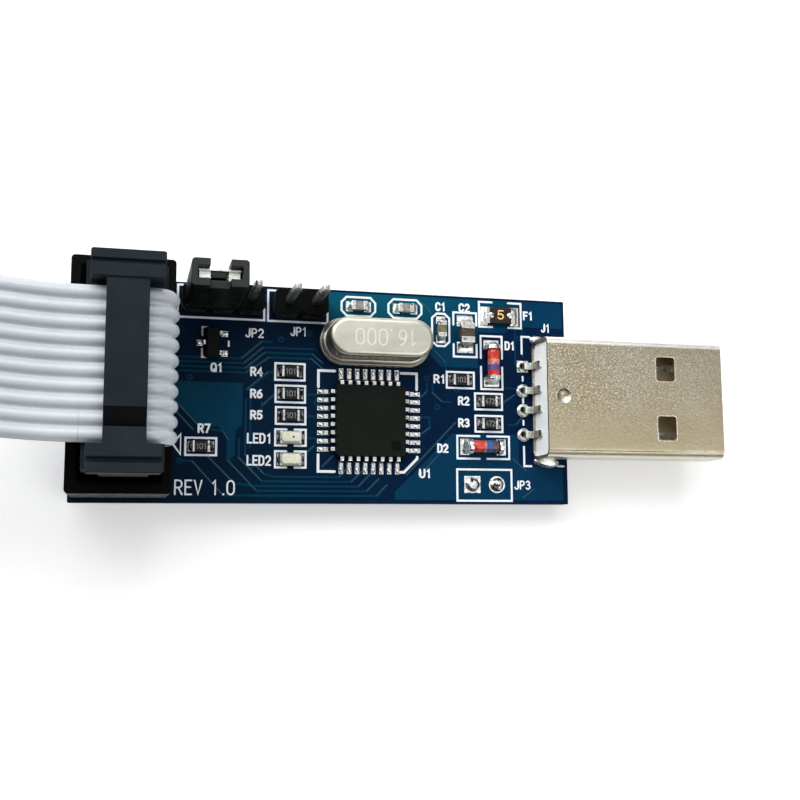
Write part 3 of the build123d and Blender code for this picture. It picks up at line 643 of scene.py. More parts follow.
# each letter is 0.6 wide and 1 high
GLYPHS = {
    "0": [ZERO],
    "1": [[(0.12, 0.8), (0.32, 1.0), (0.32, 0.0)]],
    "2": [bow(0.3, 0.7, 0.28, 0.3, 165, -30) + [(0.02, 0.0), (0.6, 0.0)]],
    "3": [bow(0.28, 0.76, 0.26, 0.24, 150, -90), bow(0.28, 0.27, 0.3, 0.27, 90, -150)],
    "4": [[(0.45, 0.0), (0.45, 1.0), (0.0, 0.32), (0.6, 0.32)]],
    "5": [[(0.55, 1.0), (0.1, 1.0), (0.04, 0.54)] + bow(0.28, 0.32, 0.3, 0.31, 125, -150)],
    "6": [loop(bow(0.3, 0.3, 0.28, 0.3, 0, 330, 12)), bow(0.62, 0.3, 0.6, 0.7, 105, 178)],
    "7": [[(0.0, 1.0), (0.58, 1.0), (0.2, 0.0)]],
    "C": [bow(0.3, 0.7, 0.3, 0.3, 15, 180) + bow(0.3, 0.3, 0.3, 0.3, 180, 345)],
    "D": [loop(STEM, bow(0.25, 0.68, 0.33, 0.32, 90, 0), bow(0.25, 0.32, 0.33, 0.32, 0, -90))],
    "E": [[(0.52, 1.0), (0.0, 1.0), (0.0, 0.0), (0.52, 0.0)], [(0.0, 0.52), (0.44, 0.52)]],
    "F": [[(0.52, 1.0), (0.0, 1.0), (0.0, 0.0)], [(0.0, 0.52), (0.44, 0.52)]],
    "J": [[(0.5, 1.0), (0.5, 0.25)] + bow(0.25, 0.25, 0.25, 0.25, 0, -170)],
    "L": [[(0.0, 1.0), (0.0, 0.0), (0.5, 0.0)]],
    "P": [STEM, BOWL],
    "Q": [ZERO, [(0.34, 0.26), (0.6, 0.0)]],
    "R": [STEM, BOWL, [(0.28, 0.48), (0.6, 0.0)]],
    "U": [[(0.0, 1.0), (0.0, 0.3)] + bow(0.3, 0.3, 0.3, 0.3, 180, 360) + [(0.6, 1.0)]],
    "V": [[(0.0, 1.0), (0.3, 0.0), (0.6, 1.0)]],
    ".": [[(0.28, 0.0), (0.32, 0.04)]],
}
NARROW = {"1": 0.45, ".": 0.35, "J": 0.55, "L": 0.5, "E": 0.52, "F": 0.52}


def lettering(shape, text, x, y, width, height, line, bottom, top, angle=0.0):
    """A line of stroke letters centred on a point and fitted to a width and a height."""
    gap = 0.28
    widths = [NARROW.get(c, 0.6) if c != " " else 0.3 for c in text]
    total = sum(widths) + gap * (len(text) - 1)
    inside = (width - line) / total, height - line
    at = turned(x, y, angle)
    pen = -total / 2
    for c, wide in zip(text, widths):
        for k, run in enumerate(GLYPHS.get(c, [])):
            drawn = [at((pen + px) * inside[0], (py - 0.5) * inside[1]) for px, py in run]
            strokes(shape, drawn, line, bottom, top + STEP * k)
        pen += wide + gap


# ------------------------------------------------------------------ the board's legend, tracks and pads
LINE = 0.2  # the width of the legend's lines
LETTER_LINE, FINE_LINE = 0.19, 0.145
LETTER_HEIGHT = 0.93
RESISTORS = [f"resistor_r{i}" for i in range(1, 8)]
# how far each resistor's name is from the resistor
RESISTOR_TAGS = {1: (-2.2, 0.05), 2: (-2.62, 0.0), 3: (-2.62, 0.05), 4: (-3.22, -0.07), 5: (-3.28, 0.0),
                 6: (-3.26, -0.05), 7: (0.28, 1.72)}
# each name printed beside a part, with its middle and its width
TAGS = [
    ("C1", 3.38, 9.31, 1.08), ("C2", 5.9, 9.32, 1.2), ("F1", 12.74, 8.8, 1.06), ("D1", 10.7, 5.6, 1.08),
    ("D2", 3.5, -4.98, 1.17), ("J1", 14.63, 7.6, 0.94), ("U1", 1.64, -7.5, 1.2), ("JP1", -11.0, 6.14, 1.6),
    ("Q1", -18.82, 2.35, 1.14), ("JP2", -15.25, 5.82, 1.78), ("JP3", 11.81, -8.57, 1.74),
]
USB_TAIL = low("usb_contact_1").x + 0.125  # the middle of the contacts' feet
CONTACTS = [middle(f"usb_contact_{i}").y for i in range(1, 5)]
BASE_1, BASE_2 = "jumper_base_jp1", "jumper_base_jp2"
JP3 = ((6.52, -8.54), (9.09, -8.54))  # the two filled holes
DIODES = ((8.7, 3.7, 90), (7.7, -4.8, 0))  # each one's middle and its turn
PAD = 0.028  # how far a bare pad stands off the board


def printed(shape, points, width=LINE):
    """A line of the legend."""
    strokes(shape, points, width, TOP, TOP + PRINT)


def tag(shape, text, x, y, width, height=LETTER_HEIGHT, line=LETTER_LINE):
    """A word of the legend."""
    lettering(shape, text, x, y, width, height, line, TOP, TOP + PRINT)


def frame_lines(shape, x, y, width, height, gap_x=0.0, gap_y=0.0):
    """A drawn rectangle; a gap leaves the middle of its level or of its upright sides open."""
    w, h = width / 2 - LINE / 2, height / 2 - LINE / 2
    if gap_x:
        parts = [[(s * gap_x / 2, h), (s * w, h), (s * w, -h), (s * gap_x / 2, -h)] for s in (-1, 1)]
    elif gap_y:
        parts = [[(-w, s * gap_y / 2), (-w, s * h), (w, s * h), (w, s * gap_y / 2)] for s in (-1, 1)]
    else:
        parts = [[(-w, -h), (w, -h), (w, h), (-w, h), (-w, -h)]]
    for part in parts:
        printed(shape, [(x + px, y + py) for px, py in part])


def oval_frame(shape, x, y, width, height, cut, angle=0.0):
    """A drawn rectangle with bowed ends, as round the small capacitors."""
    w, h = width / 2 - LINE / 2, height / 2 - LINE / 2
    at = turned(x, y, angle)
    outline = [(w - cut, h), (cut - w, h), (-w, h * 0.45), (-w, -h * 0.45), (cut - w, -h), (w - cut, -h),
               (w, -h * 0.45), (w, h * 0.45), (w - cut, h)]
    printed(shape, [at(px, py) for px, py in outline])


def legend():
    """Frames and names round the parts, in white ink."""
    shape = Shape()
    for i, name in enumerate(RESISTORS, 1):
        at = middle(name)
        frame_lines(shape, at.x, at.y, 3.05, 1.81)
        dx, dy = RESISTOR_TAGS[i]
        tag(shape, f"R{i}", at.x + dx, at.y + dy, 1.22)
    for i in (1, 2):
        at = middle(f"led{i}_base")
        frame_lines(shape, at.x, at.y, 3.14, 1.74, gap_x=0.8)
        tag(shape, f"LED{i}", at.x - 3.0, at.y - 0.13, 2.33, 1.02, 0.17)
    for name in ("capacitor_c3", "capacitor_c4"):
        at = middle(name)
        oval_frame(shape, at.x, at.y, 3.6, 2.08, 0.5)
    at = middle("capacitor_c1")
    oval_frame(shape, at.x, at.y, 3.5, 2.0, 0.45, 90)
    at = middle("capacitor_c2")
    frame_lines(shape, at.x, at.y - 0.05, 2.62, 4.72, gap_y=2.0)
    at = middle("fuse_f1")
    frame_lines(shape, at.x + 0.12, at.y + 0.15, 4.7, 2.76, gap_x=1.75)
    diode_width = 2.46
    frame_lines(shape, 8.73, 3.79, diode_width, 5.63, gap_y=0.9)
    frame_lines(shape, 7.73, -4.84, 5.65, diode_width, gap_x=0.8)
    for text, x, y, width in TAGS:
        tag(shape, text, x, y, width, line=FINE_LINE if text[0] == "J" else LETTER_LINE)
    tag(shape, "REV 1.0", -19.72, -9.03, 5.6, 1.45, 0.155)
    around_headers(shape)
    around_chip(shape)
    around_plug(shape)
    frame_lines(shape, 7.8, -8.6, 5.9, 3.3)  # round the two filled holes
    piece("legend", shape, INK)


def around_headers(shape):
    """The lines round the jumper headers and the transistor, and the mark at the header's first pin."""
    brackets = (BASE_1, 2.93, 2.9, 1.0, 1.52), (BASE_2, 4.15, 4.05, 0.5, 1.6)
    for base, to_left, to_right, arm, drop in brackets:
        at = middle(base)
        left, right, top, bottom = at.x - to_left, at.x + to_right, at.y + 1.5, at.y - drop
        corners = [(left, top), (left, bottom), (right, bottom)]
        printed(shape, [(left + arm, top), *corners, (right, at.y - 0.5)])
    at = middle("transistor_body")
    for s in (-1, 1):
        x, y = at.x + 0.3 - 1.25, at.y + 0.1 + s * 1.45
        printed(shape, [(x + 0.5, y), (x, y), (x, y - s * 0.8)], 0.18)
    printed(shape, [(at.x - 0.3, at.y - 1.35), (at.x + 0.5, at.y - 1.35)], 0.14)
    printed(shape, [(at.x + 1.55, at.y - 0.2), (at.x + 1.55, at.y + 0.25)], 0.18)
    tip, back, y, half = -22.72, -22.02, -5.01, 0.95
    printed(shape, [(tip, y), (back, y + half), (back, y - half), (tip, y)])


def around_chip(shape):
    """Four corner marks round the microcontroller, the one at its first pin cut off."""
    left, right, bottom, top, arm = -9.02, 0.85, -7.41, 2.39, 1.6
    wide = 0.26
    for x, y, sx, sy in ((left, top, 1, -1), (right, top, -1, -1), (left, bottom, 1, 1)):
        printed(shape, [(x + sx * arm, y), (x, y), (x, y + sy * arm)], wide)
    cut = 1.35
    slant = [(right, bottom + cut), (right - cut, bottom)]
    printed(shape, [(right, bottom + cut + 0.15), *slant, (right - cut - 0.35, bottom)], wide)


def around_plug(shape):
    """The plug's outline: two corners, a dash between contacts and one past each leg."""
    x = USB_TAIL
    printed(shape, [(x + 0.75, 6.6), (x - 0.1, 6.6), (x - 0.1, 4.85)])
    printed(shape, [(x - 0.05, -4.7), (x - 0.05, -6.65), (x + 0.7, -6.65)])
    for y in [(a + b) / 2 for a, b in zip(CONTACTS, CONTACTS[1:])]:
        printed(shape, [(x - 0.05, y - 0.2), (x - 0.05, y + 0.2)])
    for s in (-1, 1):
        printed(shape, [(15.7, s * 6.62), (16.3, s * 6.62)])


# tracks that show through the mask, each from end to end with its corners
TRACKS = [
    [(-23.3, 3.3), (-17.2, 3.3), (-16.4, 3.3), (-14.5, 5.0), (-13.6, 5.0)],
    [(-23.3, 2.85), (-16.2, 2.85), (-14.35, 4.45), (-9.4, 4.45)],
    [(-23.3, 2.4), (-16.0, 2.4), (-14.2, 3.95), (-9.6, 3.95), (-8.6, 3.1)],
    [(-23.3, 1.95), (-15.95, 1.95), (-13.75, 3.5), (-9.7, 3.5), (-8.3, 2.3)],
    [(-15.9, 0.3), (-13.85, 2.05), (-12.9, 2.15)],
    [(-14.4, -1.2), (-13.25, -0.1), (-12.7, 0.0)],
    [(-16.0, -0.6), (-16.0, -5.9), (-14.2, -7.7), (-13.3, -7.95), (-6.9, -7.95), (-6.2, -7.2)],
    [(-14.5, -0.9), (-14.5, -1.9)],
    [(-15.55, -0.6), (-15.55, -5.2)],
    [(-16.6, -4.4), (-16.6, -6.2), (-14.4, -8.4), (-5.7, -8.4), (-4.6, -7.3), (-4.6, -6.9)],
    [(-20.2, -5.95), (-19.4, -6.2), (-17.0, -8.6), (-15.2, -8.85), (-5.0, -8.85), (-3.8, -7.6)],
    [(-19.2, -3.55), (-18.1, -3.7), (-17.5, -4.6), (-17.5, -6.6), (-14.9, -9.3), (-4.2, -9.3), (-3.0, -8.1)],
    [(-22.0, -6.5), (-20.9, -6.6), (-18.0, -9.75), (-3.2, -9.75), (-2.2, -8.7)],
    [(-22.8, -0.7), (-20.2, -3.4)],
    [(-22.8, -1.6), (-20.9, -3.6)],
    [(-10.6, 0.0), (-9.3, 0.0), (-8.6, 0.35)],
    [(-10.6, -2.1), (-9.4, -2.1)],
    [(-10.6, -4.2), (-9.3, -4.25)],
    [(-10.4, -5.9), (-9.4, -5.0)],
    [(-8.6, -7.0), (-7.5, -5.9)],
    [(-0.2, -7.7), (4.9, -2.4)],
    [(1.3, -7.6), (4.2, -4.6)],
    [(0.9, -0.35), (1.9, 0.6), (1.9, 1.5)],
    [(0.9, -1.95), (2.1, -1.95), (2.2, -3.0), (1.4, -3.6), (0.9, -3.55)],
    [(2.3, 5.3), (3.9, 3.6), (3.95, 2.9)],
    [(2.5, 1.3), (2.5, 0.5), (3.5, -0.35), (4.4, -0.35)],
    [(10.4, -2.5), (11.3, -2.5), (12.1, -1.6)],
    [(10.2, 1.25), (12.1, 1.1)],
    [(9.95, -0.3), (11.2, 0.55), (12.1, 1.0)],
    [(10.9, -6.0), (12.3, -7.2), (15.0, -7.2)],
    [(-9.2, 9.7), (-7.4, 9.7), (-6.9, 9.3)],
    [(-9.2, 8.4), (-8.0, 8.4), (-7.2, 8.8)],
    [(0.9, 9.9), (2.0, 9.2), (2.6, 8.3)],
    [(-2.9, 8.9), (-2.5, 8.9)],
    [(4.4, 6.1), (4.9, 5.7)],
    [(12.1, 8.3), (12.1, 4.5)],
    [(11.3, 7.2), (11.3, 3.6)],
    [(5.2, -9.9), (11.9, -9.9), (13.1, -9.0)],
]
# wide areas of copper, each by its outline
POURS = [
    [(-23.2, -0.2), (-20.1, -3.25), (-18.6, -3.25), (-17.75, -4.0), (-17.75, -6.6), (-16.95, -5.9),
     (-16.95, -3.6), (-16.3, -3.0), (-16.3, 0.95), (-23.2, 0.95)],
    [(-1.4, -10.1), (-1.4, -9.3), (0.4, -7.6), (4.5, -3.5), (11.5, -3.5), (11.5, -6.6), (16.2, -6.9),
     (16.2, -10.1)],
    [(-8.0, 10.25), (-8.0, 7.4), (2.0, 7.4), (2.0, 4.6), (3.4, 3.2), (7.3, 3.2), (7.3, 6.9), (10.2, 6.9),
     (10.9, 7.6), (16.5, 7.6), (16.5, 10.25)],
]
VIAS = [(-21.3, 1.35), (-20.0, 0.25), (-19.9, -2.1), (-18.4, -2.6), (-15.4, -6.9), (-9.2, -0.7),
        (-9.9, 6.0), (-14.3, 9.3), (1.9, 2.0), (2.4, -9.0), (2.95, -0.9), (11.7, 6.4), (-12.7, 5.3),
        (10.7, -8.9), (-7.4, 9.9), (13.8, 9.1), (5.0, 0.9), (-22.1, -6.55)]


def tracks():
    """Copper under the mask on both faces. It stands up a little and looks paler, and a thin pale strip of
    painted highlight runs beside each slanted stretch.
    The underside repeats the tracks, turned over and moved, wherever they stay on the board."""
    shape, edges = Shape(), Shape()
    for i, run in enumerate(TRACKS):
        step = i * STEP / 20
        strokes(shape, run, 0.2, TOP, TOP + TRACK + step)
        below = [(-8.0 - x, y) if i % 2 else (x + 3.0, -y) for x, y in run]
        if all(abs(y) < 9.9 and x < 11.0 for x, y in below):
            strokes(shape, below, 0.25, UNDER - TRACK - step, UNDER)
        for start, end in zip(run, run[1:]):
            # a thin pale strip beside each long slanted stretch: painted highlight
            if min(abs(end[0] - start[0]), abs(end[1] - start[1])) > 0.6:
                edge = [(x - 0.05, y + 0.06) for x, y in (start, end)]
                strokes(edges, edge, 0.07, TOP, TOP + TRACK + 0.01)
    for outline in POURS:
        shape.prism(outline, TOP, TOP + TRACK * 0.7)
    shape.prism(rectangle(-7.5, -8.9, 33.0, 2.0), UNDER - TRACK * 0.7, UNDER)
    piece("tracks", shape, COPPER_MASK)
    piece("track_glint_strips", edges, TRACK_GLINT_PAINT)
    shape, hole, rim, height = Shape(), 0.13, 0.3, TRACK * 1.6
    for x, y in VIAS:
        ring(shape, x, y, hole, rim, TOP, TOP + height, sides=16)
        ring(shape, x, y, hole, rim, UNDER - height, UNDER, sides=16)
    piece("vias", shape, COPPER_MASK)


def on_board(node, angle=0):
    """A part's place on the board: its middle and its turn."""
    at = middle(node)
    return at.x, at.y, angle


def end_pads(shape, place, start, pad, reach, height):
    """The two pads of a chip part, each a (length, width), with solder up to the part's ends: start
    is how far the end is from the part's middle, and reach and height are the solder's."""
    length, width = pad
    past, under = 0.04, 0.02  # how far the pad goes past the solder, and the solder under the part
    x, y, angle = place
    for turn in (0, 180):
        at = turned(x, y, angle + turn)
        corners = [at(px, py) for px, py in rectangle(start + reach - length / 2 + past, 0, length, width)]
        shape.prism(corners, TOP, TOP + PAD)
        solder_ramp(shape, at, start - under, reach, width * 0.94, height)


def pads():
    """Tinned pads under each chip part, with the solder that climbs its ends."""
    shape = Shape()
    for name in RESISTORS:
        end_pads(shape, on_board(name), 0.85, (0.6, 0.98), 0.34, 0.34)
    for i in (1, 2):
        end_pads(shape, on_board(f"led{i}_base"), 1.04, (0.5, 1.14), 0.2, 0.3)
    # darkened solder on these pads: painted dark reflection
    piece("resistor_pads_and_solder", shape, DARKENED_SOLDER, sharp=40)
    shape = Shape()
    small = 0, 0.82, (0.7, 1.0), 0.4
    capacitors = (90, 0.82, (0.75, 0.95), 0.5), (90, 1.02, (1.1, 1.7), 0.85), small, small
    for i, (angle, start, pad, reach) in enumerate(capacitors, 1):
        end_pads(shape, on_board(f"capacitor_c{i}", angle), start, pad, reach, 0.6)
    end_pads(shape, on_board("fuse_f1"), 1.6, (0.85, 1.9), 0.45, 0.45)
    at = middle("fuse_f1")
    for s in (-1, 1):
        dome(shape, at.x + s * 0.98, at.y, (0.31, 0.31), high("fuse_f1").z - 0.02, 0.13, flat=0.4)
    for place in DIODES:
        end_pads(shape, place, 1.8, (0.95, 1.6), 0.55, 0.75)
    at = middle("transistor_body")
    for dx, dy in ((1.15, 0.95), (1.15, -0.95), (-1.15, 0.0)):
        shape.prism(rectangle(at.x + dx, at.y + dy, 0.6, 0.55), TOP, TOP + PAD)
        dome(shape, at.x + dx * 1.08, at.y + dy, (0.3, 0.24), TOP + PAD, 0.16, flat=0.3)
    piece("chip_pads_and_solder", shape, PALE_SOLDER, sharp=40)


def chip_leads_solder():
    """A long pad under each lead of the microcontroller, with solder round the foot."""
    shape = Shape()
    pitch, leads, foot = 0.8, 8, 4.42
    for quarter in range(4):
        for i in range(leads):
            along = (i - (leads - 1) / 2) * pitch
            place = turned(MCU.x, MCU.y, 90 * quarter)
            corners = [place(px, py) for px, py in rectangle(foot + 0.12, along, 1.2, 0.42)]
            shape.prism(corners, TOP, TOP + PAD)
            tip = place(foot + 0.36, along)
            dome(shape, *tip, (0.3, 0.19), TOP + PAD, 0.15, angle=90 * quarter, flat=0.2, sides=14, steps=4)
    piece("microcontroller_solder", shape, PALE_SOLDER, sharp=50)


def hole_pads():
    """Rings and solder round the plug's contacts and legs, painted shade down the contacts' holes, and the
    pads of the two filled holes.
    """
    shape, hollow = Shape(), Shape()
    funnel = (0.62, PAD), (0.54, 0.11), (0.42, 0.13), (0.28, 0.08), (0.2, -0.02), (0.18, -0.2)
    for i, y in enumerate(CONTACTS):
        x = USB_TAIL - 0.05
        ring(shape, x, y, 0.42, 0.6 if i == 0 else 0.68, TOP, TOP + PAD, square=i == 0)
        rows = [[(px, py, TOP + z) for px, py in disc(radius, x, y)] for radius, z in funnel]
        shape.grid(rows, closed=True)
        # a near-black plug down each hole: painted shade
        hollow.prism(disc(0.47, x, y), TOP - 1.2, TOP - 0.25)
    legs = (13.72, 6.2, (0.95, 0.55), -12), (14.4, -6.22, (1.4, 0.62), -6)
    for x, y, radii, angle in legs:
        dome(shape, x, y, radii, TOP, 0.5, angle=angle, flat=0.2)
    ring(shape, *JP3[1], 0.36, 0.84, TOP, TOP + PAD)
    ring(shape, *JP3[0], 0.36, 0.84, TOP, TOP + PAD, square=True)
    random.seed(7)
    lumps = 7
    for x, y in JP3:
        for k in range(lumps):
            a = 2 * pi * k / lumps + random.uniform(-0.3, 0.3)
            r = random.uniform(0.36, 0.52)
            radii = random.uniform(0.16, 0.28), random.uniform(0.12, 0.2)
            dome(shape, x + r * cos(a), y + r * sin(a), radii, TOP + 0.02, random.uniform(0.08, 0.16),
                 angle=degrees(a), sides=12, steps=4)
    piece("hole_pads", shape, PALE_SOLDER, sharp=50)
    piece("painted_hole_shade", hollow, DARK)
    underside_pads()


def underside_pads():
    """A pad round each plated hole, on the side away from the parts."""
    shape = Shape()
    pitch, pin = 2.54, 0.64
    first_x, first_y = low("header_pins").x + pin / 2, low("header_pins").y + pin / 2
    pins = [(first_x + i * pitch, first_y + j * pitch) for i in (0, 1) for j in range(5)]
    for node, count in ((BASE_1, 2), (BASE_2, 3)):
        at = middle(node)
        pins += [(at.x + (i - (count - 1) / 2) * pitch, at.y) for i in range(count)]
    for x, y in pins + list(JP3) + [(USB_TAIL, y) for y in CONTACTS]:
        ring(shape, x, y, 0.5, 0.95, UNDER - PAD, UNDER)
    piece("underside_pads", shape, SOLDER, sharp=40)


# ------------------------------------------------------------------ parts on the board
def crystal():
    """The can and its base, the bead where they are welded, and the marking."""
    rounded("crystal_base", 0.06, CAN)
    rounded("crystal_can", 0.05, CAN, angle=40)
    c, foot = middle("crystal_can"), low("crystal_can")
    shape = Shape()
    rows, radius, sides = [], 1.875, 48
    half = (high("crystal_can").x - foot.x) / 2 - radius
    bead = (0.0, 0.0), (0.3, 0.0), (0.36, 0.1), (0.3, 0.22), (0.12, 0.3), (0.0, 0.42), (-0.04, 0.42)
    for out, z in bead:
        row = []
        for a in [2 * pi * (i + 0.5) / sides for i in range(sides)]:
            end = half if cos(a) >= 0 else -half
            row.append((c.x + end + (radius + out) * cos(a), c.y + (radius + out) * sin(a), foot.z + z))
        rows.append(row)
    shape.grid(rows, closed=True)
    piece("crystal_weld_bead", shape, CAN, sharp=50)
    shape = Shape()
    top = high("crystal_can").z
    lettering(shape, "16.000", c.x + 0.3, c.y - 0.05, 6.0, 1.65, 0.12, top - 0.02, top + 0.006, angle=180)
    piece("crystal_marking", shape, ETCHED)


def diode(name, x, y, angle, bands):
    """A glass diode in bands of coloured glass, which narrows a little at its ends."""
    shape = Shape()
    radius, half, taper = 0.6, 1.35, 0.25
    place = turned(x, y, angle)
    sides, steps, centre = 28, 6, middle("diode_glass").z
    for start, end, finish, bulge in bands:
        rows = []
        for i in range(steps + 1):
            along = start + (end - start) * i / steps
            r = radius + bulge - 0.1 * (max(0.0, abs(along) - half + taper) / taper) ** 2
            rows.append([(*place(along, py), centre + pz) for py, pz in disc(r, 0, 0, sides)])
        shape.grid(rows, closed=True, caps=True, finish=finish)
    finishes = [RED_GLASS, CLEAR_GLASS, BLUE_BAND, PURPLE_BAND, DARK_GLASS]
    return piece(name, shape, finishes, sharp=60)


def diodes():
    """Each band is its start and end along the diode, its finish and how far it stands out."""
    upright = [(-1.35, -0.82, 0, 0.0), (-0.82, -0.25, 3, 0.012), (-0.25, 0.3, 1, 0.0), (0.3, 1.35, 0, 0.0)]
    level = [(-1.35, -0.25, 0, 0.0), (-0.25, 0.0, 1, 0.0), (0.0, 0.6, 2, 0.012), (0.6, 1.35, 4, 0.0)]
    first = diode("diode_d1", *DIODES[0], upright)
    diode("diode_d2", *DIODES[1], level)
    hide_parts("diode_glass")


def markings():
    """Codes on the resistors, a figure on the fuse, the die in the first LED, the chip's dimple."""
    shape = Shape()
    codes = ["103"] + ["472"] * 2 + ["101"] * 4
    for name, code in zip(RESISTORS, codes):
        at, top = middle(name), high(name).z
        lettering(shape, code, at.x, at.y, 0.98, 0.58, 0.075, top - 0.01, top + 0.006)
    piece("resistor_codes", shape, GREY_INK)
    shape = Shape()
    at, top = middle("fuse_f1"), high("fuse_f1").z
    lettering(shape, "5", at.x, at.y + 0.05, 0.75, 1.0, 0.14, top - 0.01, top + 0.01)
    piece("fuse_figure", shape, GOLD)
    shape = Shape()
    at, top = middle("led1_lens"), high("led1_lens").z
    shape.prism(disc(0.1, at.x + 0.18, at.y), top - 0.01, top + 0.004)
    piece("led_die", shape, DARK)
    shape = Shape()
    floor = high("mcu_body").z - 0.075
    shape.prism(disc(0.49, MCU.x + 2.45, MCU.y - 2.45), floor, floor + 0.01)
    piece("first_pin_dimple", shape, DIMPLE)


def small_parts():
    """The chips, the crystal, the diodes, and everything else that is soldered flat on the board."""
    for name in RESISTORS:
        rounded(name, 0.04, RESISTOR)
    for i, finish in enumerate((OLIVE_CERAMIC, BROWN_CERAMIC, GREY_CERAMIC, GREY_CERAMIC), 1):
        rounded(f"capacitor_c{i}", 0.04, finish)
    rounded("fuse_f1", 0.05, FUSE)
    for name in ("resistor_ends", "capacitor_ends", "fuse_ends", "led_ends"):
        rounded(name, 0.05, TIN)
    rounded("diode_ends", 0.03, TIN, angle=40)
    rounded("mcu_leads", 0.03, LEAD_METAL, angle=50)
    rounded("transistor_leads", 0.03, TIN, angle=50)
    rounded("mcu_body", 0.05, CHIP)
    rounded("transistor_body", 0.05, CHIP)
    for i in (1, 2):
        rounded(f"led{i}_base", 0.03, LED_BASE)
        rounded(f"led{i}_lens", 0.06, LENS, angle=40)
    crystal()
    diodes()
    markings()


def window_rims():
    """Bright strips round the edges of the shell's latch windows, above and below: painted highlight."""
    shape = Shape()
    x, y, half_x, half_y, corner = 25.7, 3.0, 1.07, 1.27, 0.3
    above = high("usb_shell").z
    for s in (-1, 1):
        outline = []
        for cx, cy, start in ((1, 1, 0), (-1, 1, 90), (-1, -1, 180), (1, -1, 270)):
            centre = x + cx * (half_x - corner), s * y + cy * (half_y - corner)
            outline += bow(*centre, corner, corner, start, start + 90, 4)
        strokes(shape, loop(outline), 0.09, above - 0.02, above + 0.008)
        strokes(shape, loop(outline), 0.09, TOP - 0.008, TOP + 0.02)
    piece("window_rims", shape, RIM_HIGHLIGHT_PAINT)


def plug():
    """The USB plug: its shell, moulding and contacts."""
    rounded("usb_shell", 0.08, SHELL, angle=25)
    window_rims()
    rounded("usb_insulator", 0.08, PALE)
    for i in range(1, 5):
        rounded(f"usb_contact_{i}", 0.04, CONTACT, angle=40)


def headers():
    """The box header, the jumper headers and the shunt."""
    rounded("header_housing", 0.1, BLACK)
    rounded("header_pins", 0.04, CONTACT)
    rounded("jumper_pins", 0.05, PIN_METAL)
    rounded(BASE_1, 0.08, BLACK)
    rounded(BASE_2, 0.08, BLACK)
    rounded("shunt_housing", 0.1, SHUNT_BLACK)
    rounded("shunt_clip", 0.03, CONTACT)


def plain_finishes():
    """CAD nodes that keep their shape."""
    kept = {"circuit_board": MASK, "solder_joints": SOLDER, "crystal_leads": TIN,
            "crystal_glass_seals": SEAL, "quartz_blank": QUARTZ}
    for name, finish in kept.items():
        mesh = nodes[name].data
        mesh.materials.clear()
        mesh.materials.append(finish.material)


# ------------------------------------------------------------------ ribbon cable
WIRES, WIRE_PITCH, THICK = 10, 1.27, 0.9
BAND_WIDTH = WIRES * WIRE_PITCH
WIRE_HALF = 0.53  # half a wire's width, a little pressed flat
FOLD_RADIUS = 1.8  # of the ribbon's middle, round the socket's edge
FOLD_LOW = 7.7 + THICK / 2  # the ribbon's middle under the cover, above the mating face
FOLD_HIGH = FOLD_LOW + 2 * FOLD_RADIUS
EXIT_X = -3.15  # where the ribbon leaves the socket


def band_section():
    """The ribbon's outline as (across, out): ten round wires side by side, joined by thin webs."""
    upper, first, steps = [], 14, 8
    for wire in range(WIRES):
        centre = (wire - (WIRES - 1) / 2) * WIRE_PITCH
        for i in range(steps + 1):
            a = radians(180 - first - (180 - 2 * first) * i / steps)
            upper.append((centre + WIRE_HALF * cos(a), THICK / 2 * sin(a)))
    upper = [(-BAND_WIDTH / 2, 0.0)] + upper
    return upper + [(BAND_WIDTH / 2, 0.0)] + [(x, -z) for x, z in upper[:0:-1]]


SECTION = band_section()


def band(shape, stations):
    """Carries the ribbon's outline along stations of (middle, width way, out way)."""
    rows = [[at + wide * x + out * z for x, z in SECTION] for at, wide, out in stations]
    shape.grid(rows, closed=True, caps=True)


def wire_ends(shape, at, wide, out, ahead):
    """The cut copper of the ten wires, a little proud of the insulation."""
    copper = disc(0.17, 0, 0, 12)
    for i in range(WIRES):
        centre = at + wide * ((i - (WIRES - 1) / 2) * WIRE_PITCH)
        rows = [[centre + ahead * reach + wide * x + out * y for x, y in copper] for reach in (-0.3, 0.04)]
        shape.grid(rows, closed=True, caps=True)


def socket_fold(prefix, body, place):
    """The end of the ribbon in its socket: flat under the cover, round its edge and back over it."""
    fold_x, cut_x, r = 2.35, -2.9, FOLD_RADIUS
    flat = 4
    line = [(cut_x + (fold_x - cut_x) * i / flat, FOLD_LOW, 0) for i in range(flat)]
    for a in range(0, 181, 10):
        line.append((fold_x + r * sin(radians(a)), FOLD_LOW + r - r * cos(radians(a)), a))
    line += [(fold_x + (EXIT_X - fold_x) * i / flat, FOLD_HIGH, 180) for i in range(1, flat + 1)]
    turn = place.to_3x3()
    back, side, up = turn @ Vector((-1, 0, 0)), turn @ Vector((0, 1, 0)), turn @ Vector((0, 0, 1))
    stations = []
    for x, z, a in line:
        out = turn @ Vector((sin(radians(a)), 0, -cos(radians(a))))
        stations.append((place @ Vector((x, 0, z)), side, out))
    shape = Shape()
    band(shape, stations)
    made = piece(f"{prefix}_ribbon", shape, RIBBON, body, sharp=70)
    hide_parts(f"{prefix}_ribbon_fold")
    ends = Shape()
    wire_ends(ends, stations[0][0], side, up, back)
    return [made, piece(f"{prefix}_wire_ends", ends, COPPER, body, sharp=40)]


def socket(prefix, body, place):
    """A ribbon socket's pieces, in the axes of its mating face."""
    pieces = []
    moulded_parts = ("body", 0.1, BLUE_GREY), ("cover", 0.08, BLUE_GREY), ("strain_relief", 0.12, RELIEF)
    for part, width, finish in moulded_parts:
        pieces.append(rounded(f"{prefix}_{part}", width, finish, segments=3))
    pieces.append(rounded(f"{prefix}_contacts", 0.03, CONTACT))
    return pieces + socket_fold(prefix, body, place)


